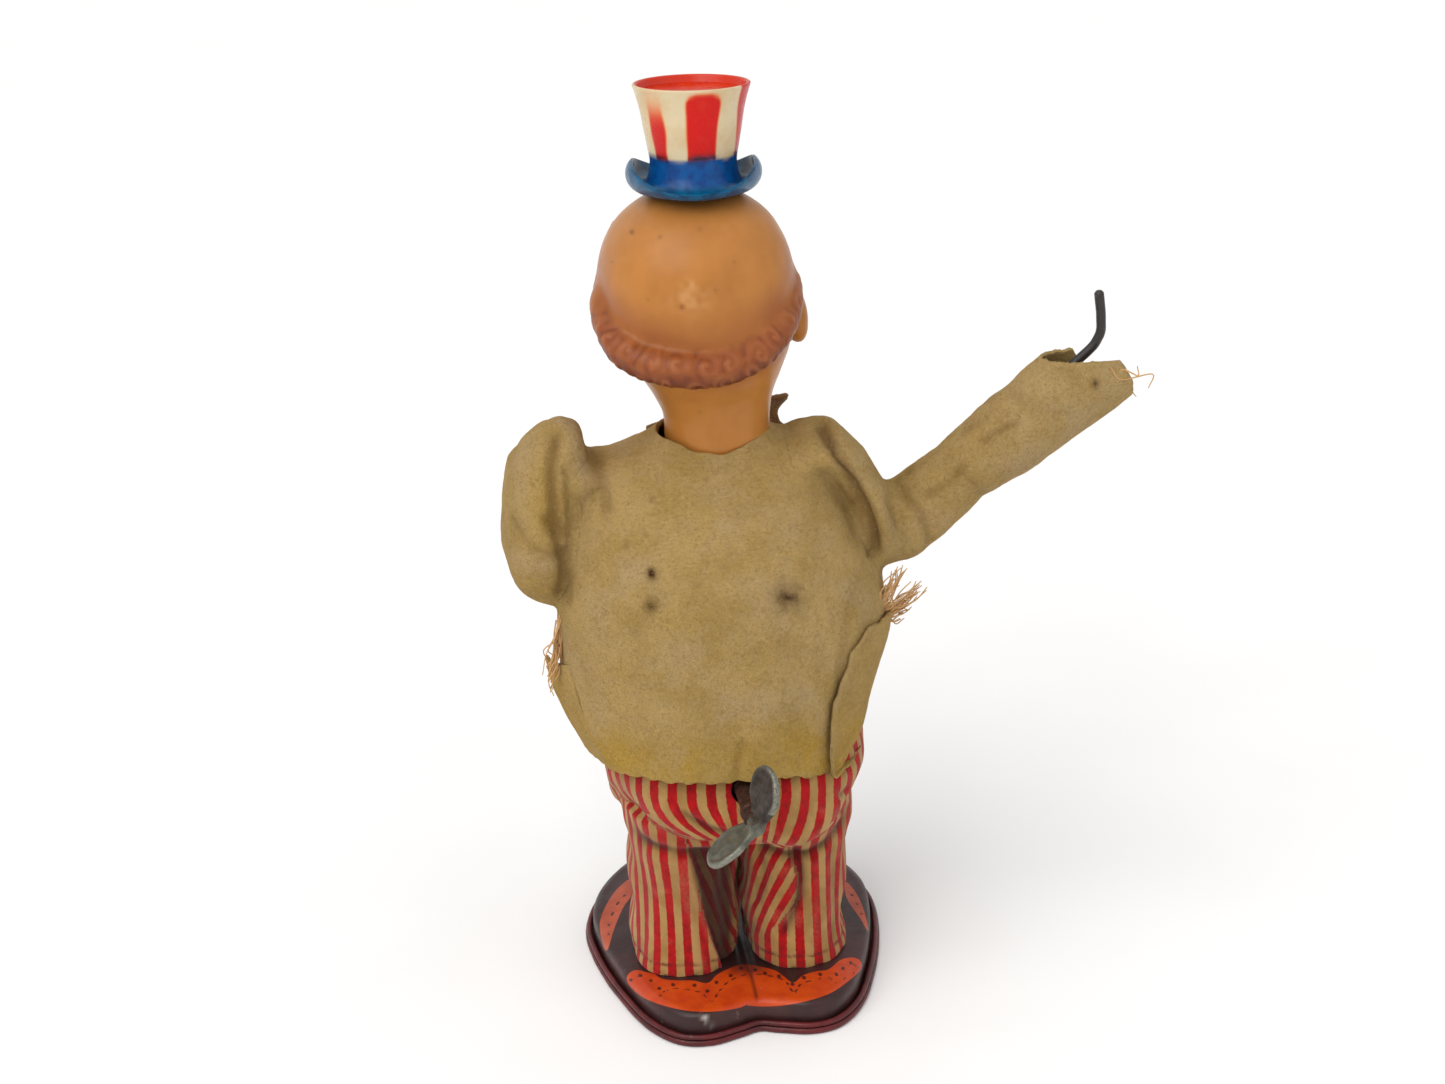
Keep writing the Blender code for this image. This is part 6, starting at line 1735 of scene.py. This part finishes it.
# ---------------------------------------------------------------- key, wires
def key_look():
    k = Look("key_metal", Metallic=0.55, Specular_IOR_Level=0.5)
    mid, fine = k.noise(2.6, 4, 0.65), k.noise(0.5, 4, 0.7)
    colour = k.mix(k.ramp(mid, 0.35, 0.68), rgb(112, 112, 98), rgb(82, 82, 72))
    # painted shade: the upper lobe, seen almost edge-on, is made darker and browner
    colour = k.mix(k.attr("upper"), colour, k.mix(k.ramp(mid, 0.3, 0.65), rgb(70, 60, 52), rgb(44, 36, 32)))
    colour = k.mix(k.math("MULTIPLY", k.attr("rim"), k.ramp(fine, 0.35, 0.6, 0.3, 0.95)), colour, rgb(138, 138, 126))
    colour = k.mix(k.ramp(k.noise(1.6, 4, 0.7), 0.6, 0.72, 0.0, 0.7), colour, rgb(92, 58, 38))
    k.bump((mid, 0.12), (fine, 0.06))
    return k.done(colour, k.ramp(mid, 0.3, 0.7, 0.34, 0.58))


def rust_look(name="rusty_steel", cad=False):
    k = Look(name, cad, Metallic=0.4)
    mid, fine = k.noise(1.8, 4, 0.7), k.noise(0.4, 4, 0.7)
    colour = k.mix(k.ramp(mid, 0.36, 0.6), rgb(78, 42, 26), rgb(44, 24, 16))
    colour = k.mix(k.ramp(fine, 0.6, 0.75, 0.0, 0.7), colour, rgb(120, 98, 82))
    k.bump((mid, 0.2), (fine, 0.12))
    return k.done(colour, k.ramp(mid, 0.3, 0.7, 0.5, 0.8))


def key_bow():
    g, low, step = grid((-21.5, -9, -4), (21.5, 9, 4), 0.42)
    s, w, t = g[..., 0], g[..., 1], g[..., 2]
    lobe = np.hypot((np.abs(s) - 9.2) / 7.2, w / 6.6) - 1
    lobe = lobe * 6.7
    waist = np.maximum(np.abs(w) - 3.2, np.abs(s) - 7)
    plan = smin(lobe, waist, 2.4)
    thick = 0.62 + 0.34 * np.exp(-(((plan + 0.8) / 0.7) ** 2)) + 0.28 * np.exp(-((np.abs(s) / 3.2) ** 4))
    curve_t = t - 0.7 * (s / 16.0) ** 2 * np.sign(s)
    body = smax(plan, np.abs(curve_t) - thick, 0.6)
    hub = smax(np.hypot(s, t) - 1.9, np.abs(w + 0.2) - 3.6, 0.8)
    pin = smax(np.hypot(s, w - 0.0) - 1.5, np.abs(t) - 1.9, 0.6)
    body = smin(smin(body, hub, 0.7), pin, 0.4)
    lv, q = skin(body, low, step)
    f = as_faces(q)
    lv = relax(lv, f, 2, 0.5)
    n = normals(lv, f)
    lv = lv + n * (0.08 * fbm(lv, 3, 701))[:, None]
    # the lobes are bent a little out of line, and turned to show their faces, as on a much-wound key
    lean = np.radians(36.0 - 17.0 * np.tanh(lv[:, 0] / 3.5))
    e = np.stack([-np.sin(lean), np.zeros(len(lv)), np.cos(lean)], 1)
    nn = np.stack([np.cos(lean), np.zeros(len(lv)), np.sin(lean)], 1)
    tw = np.radians(5.0 + 14.0 * smooth(-2.0, 6.0, lv[:, 0]))
    slim = 1.0 - 0.12 * smooth(0.0, -8.0, lv[:, 0])
    w2 = lv[:, 1] * slim * np.cos(tw) + lv[:, 2] * np.sin(tw)
    t2 = lv[:, 2] * np.cos(tw) - lv[:, 1] * slim * np.sin(tw) + 0.5 * fbm(lv, 6, 703)
    v = np.array((0, 54.0, 70.0)) + lv[:, :1] * e + w2[:, None] * np.array((0, 1, 0)) + t2[:, None] * nn
    s, w = lv[:, 0], lv[:, 1]
    plan = (np.hypot((np.abs(s) - 9.2) / 7.2, w / 6.6) - 1) * 6.7
    # 'upper' marks the upper lobe for its painted shade
    x = {"upper": smooth(-1.0, 3.5, s), "rim": np.exp(-((plan / 0.75) ** 2)) * (np.abs(s) > 6)}
    return v, outward(v - v.mean(0), f), x


v, f, x = key_bow()
bow = build("winding_key_bow", v, f, x, key_look())


def shank():
    """The turned shank with its shoulders, and the rusted sleeve round it."""
    prof = [(27.5, 1.9), (27.7, 2.4), (28.4, 2.62), (33, 2.6), (33.4, 2.8), (34.6, 2.8), (35.0, 2.58), (46.0, 2.55), (46.5, 2.9), (48.2, 2.95), (48.8, 2.62), (52.0, 2.6), (52.9, 2.3), (53.2, 1.6)]
    p = curve(prof, 3)
    n = 28
    a = 2 * np.pi * np.arange(n) / n
    rows = [np.column_stack([r * np.cos(a), np.full(n, y), 70 + r * np.sin(a)]) for y, r in p]
    v, f = sheet_grid(rows, close=True)
    m = len(rows)
    f.append(tuple(range(n)))
    f.append(tuple(reversed(range((m - 1) * n, m * n))))
    f = outward(v - (0, 40, 70), f)
    v = v + normals(v, f) * (0.12 * fbm(v, 2.4, 711))[:, None]
    return v, f, {}


v, f, x = shank()
key_shank = build("winding_key_shank", v, f, x, rust_look("rusty_steel_shank"))


def wire_look():
    k = Look("black_wire", Coat_Weight=0.2, Coat_Roughness=0.3)
    mid, fine = k.noise(2.6, 4, 0.7), k.noise(0.6, 4, 0.7)
    chip = k.ramp(mid, 0.58, 0.64)
    colour = k.mix(k.ramp(fine, 0.35, 0.7), rgb(30, 27, 25), rgb(48, 42, 38))
    colour = k.mix(k.math("MULTIPLY", chip, k.ramp(fine, 0.4, 0.6, 0.3, 1.0)), colour, rgb(104, 74, 52))
    k.bump((mid, 0.15), (fine, 0.08))
    return k.done(colour, k.ramp(fine, 0.3, 0.7, 0.35, 0.6), 0.2)


WIRE = wire_look()
R_WIRE = [(-20.5, -7.4, 126.6), (-30, -7.2, 127.4), (-43, -5.5, 129), (-54, -3.2, 134), (-76, 0.8, 152.5), (-98, 3.6, 170.5), (-103.4, 4.2, 176.6), (-104, 4.3, 182), (-103.4, 4.3, 188.7)]
L_WIRE = [(20.5, -7.4, 126.6), (31, -7.4, 128), (39, -8, 130), (43.4, -12.5, 131), (44.4, -24, 131.5), (44.4, -42, 132.5), (44, -54.5, 134), (43.6, -59, 137.5), (43.4, -60, 142.5)]


def arm_wire(name, path):
    p = curve(path, 8)
    v, f = tube(p, 1.3, 14)
    f = outward(v - v.mean(0), f) if False else f
    tri = np.array([(g[0], g[k], g[k + 1]) for g in f for k in range(1, len(g) - 1)])
    vol = np.einsum("ij,ij->i", v[tri[:, 0]] - v[0], np.cross(v[tri[:, 1]] - v[0], v[tri[:, 2]] - v[0])).sum()
    if vol < 0:
        f = [tuple(reversed(g)) for g in f]
    v = v + normals(v, f) * (0.07 * fbm(v, 1.8, 721))[:, None]
    return build(name, v, f, {}, WIRE)


wire_r = arm_wire("arm_wire_right_rod", R_WIRE)
wire_l = arm_wire("arm_wire_left_rod", L_WIRE)


# ---------------------------------------------------------------- finishes of the works inside
def metal_look(name, a, b, rough, metallic, wear, brushed=(1, 1, 1)):
    k = Look(name, True)
    mid, fine = k.noise(4.0, 4, 0.6), k.noise(0.5, 4, 0.7, stretch=brushed)
    colour = k.mix(k.ramp(mid, 0.35, 0.65), a, b)
    colour = k.mix(k.ramp(fine, 0.6, 0.78, 0.0, 0.6), colour, wear)
    k.bump((mid, 0.06), (fine, 0.05))
    return k.done(colour, k.ramp(fine, 0.3, 0.7, rough - 0.08, rough + 0.1), metallic)


WORKS = {
    "tin": metal_look("bare_tin", rgb(176, 172, 160), rgb(150, 144, 130), 0.34, 0.9, rgb(112, 88, 64)),
    "steel": metal_look("works_steel", rgb(150, 150, 150), rgb(118, 116, 114), 0.32, 1.0, rgb(92, 72, 56), (1, 4, 1)),
    "spring": metal_look("spring_steel", rgb(72, 84, 110), rgb(50, 56, 74), 0.26, 1.0, rgb(120, 112, 104), (1, 5, 1)),
    "brass": metal_look("brass", rgb(196, 158, 84), rgb(168, 128, 62), 0.3, 1.0, rgb(122, 88, 44)),
    "wood": metal_look("plug_wood", rgb(186, 146, 96), rgb(160, 118, 74), 0.7, 0.0, rgb(118, 82, 48), (6, 6, 1)),
    "litho": metal_look("plain_litho", rgb(84, 50, 46), rgb(66, 40, 38), 0.36, 0.2, rgb(150, 130, 118)),
}


def works_of(node):
    name = " ".join(m.name for m in node.data.materials if m).lower() + " " + node.name
    if "brass" in name or "great_wheel" in name:
        return "brass"
    if "wood" in name or "plug" in name:
        return "wood"
    if "spring" in name:
        return "spring"
    if "steel" in name or "arbor" in name or "pinion" in name or "lever" in name or "rocker" in name or "rivet" in name:
        return "steel"
    if "litho" in name:
        return "litho"
    return "tin"


# ---------------------------------------------------------------- what stands for what, and what moves with what
for obj, stands_for, body, slot in (
    (shirt, ["shirt"], "root", "felt"),
    (flap_r, [], "root", "felt"),
    (flap_l, [], "root", "felt"),
    (tuft_r, [], "root", "felt"),
    (tuft_l, [], "root", "felt"),
    (cuff_thread, [], "right_arm", "felt"),
    (pants, ["trousers"], "root", "striped_cotton"),
    (bow_tie, ["bow_tie"], "root", "tie_felt"),
    (rim, ["base_bottom_plate"], "root", "rim_tin"),
    (tin_top, ["base_shell"], "root", "litho_tin"),
    (head_obj, ["head"], "head_body", "tan_vinyl"),
    (hat_obj, ["hat"], "head_body", "hat_vinyl"),
    (bow, ["key_bow"], "key_body", "key_metal"),
    (key_shank, ["key_shank"], "key_body", "rusty_steel"),
    (wire_r, ["arm_wire_right"], "right_arm", "black_wire"),
    (wire_l, ["arm_wire_left"], "left_arm", "black_wire"),
):
    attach(obj, body)
    if stands_for:
        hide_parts(*stands_for)

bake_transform(sleeve_r)
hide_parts("sleeve_right_upper", "sleeve_right_forearm")
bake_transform(sleeve_l)
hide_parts("sleeve_left_upper", "sleeve_left_forearm")

done = set()
for node in nodes.values():
    if node.hide_render:
        continue
    look = WORKS[works_of(node)]
    node.data.materials.clear()
    node.data.materials.append(look)

# ---------------------------------------------------------------- floor, light, camera
me = bpy.data.meshes.new("floor")
me.from_pydata([(-6, -6, 0), (6, -6, 0), (6, 6, 0), (-6, 6, 0)], [], [(0, 1, 2, 3)])
floor = bpy.data.objects.new("floor", me)
bpy.context.scene.collection.objects.link(floor)
k = Look("pale_floor", True, Specular_IOR_Level=0.2)
grain = k.noise(60.0, 2, 0.5)
me.materials.append(k.done(k.mix(k.ramp(grain, 0.3, 0.7), rgb(250, 250, 250), rgb(248, 248, 248)), 0.6))
floor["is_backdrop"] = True


def area_light(name, place, aim, size, watts, colour=(1, 1, 1)):
    data = bpy.data.lights.new(name, "AREA")
    data.shape = "DISK"
    data.size = size
    data.energy = watts
    data.color = colour
    obj = bpy.data.objects.new(name, data)
    obj.location = place
    obj.rotation_euler = (Vector(aim) - Vector(place)).to_track_quat("-Z", "Y").to_euler()
    bpy.context.scene.collection.objects.link(obj)


def sun_light(name, place, strength, spread, colour=(1, 1, 1)):
    data = bpy.data.lights.new(name, "SUN")
    data.energy = strength
    data.angle = math.radians(spread)
    data.color = colour
    obj = bpy.data.objects.new(name, data)
    obj.location = place
    obj.rotation_euler = (-Vector(place)).to_track_quat("-Z", "Y").to_euler()
    bpy.context.scene.collection.objects.link(obj)


sun_light("soft_main", (0.9, 0.75, 1.35), 1.5, 55, (1.0, 0.985, 0.96))
sun_light("soft_fill", (-1.0, 0.9, 0.9), 0.25, 60)
area_light("soft_box", (0.35, 0.75, 0.85), (0, 0, 0.2), 0.5, 0.8)

world = bpy.data.worlds.new("studio")
world.use_nodes = True
world.node_tree.nodes["Background"].inputs["Color"].default_value = (1, 1, 1, 1)
world.node_tree.nodes["Background"].inputs["Strength"].default_value = 0.70
bpy.context.scene.world = world
bpy.context.scene.view_settings.view_transform = "Standard"
bpy.context.scene.view_settings.look = "None"

cam = bpy.data.cameras.new("camera")
cam.sensor_fit = "HORIZONTAL"
cam.sensor_width = 36.0
cam.lens = FOCAL / VIEW_W * 36.0
cam.clip_start = 0.01
cam.clip_end = 50
camera = bpy.data.objects.new("camera", cam)
m = Matrix.Identity(4)
for row in range(3):
    m[row][0], m[row][1], m[row][2], m[row][3] = _r[row], _u[row], -_f[row], EYE[row] * MM
camera.matrix_world = m
bpy.context.scene.collection.objects.link(camera)
bpy.context.scene.camera = camera


def plain(b):
    return json.loads(json.dumps(b, default=lambda q: [float(t) for t in q]))


{"cad": plain(cad_bounds), "visual": plain(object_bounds())}
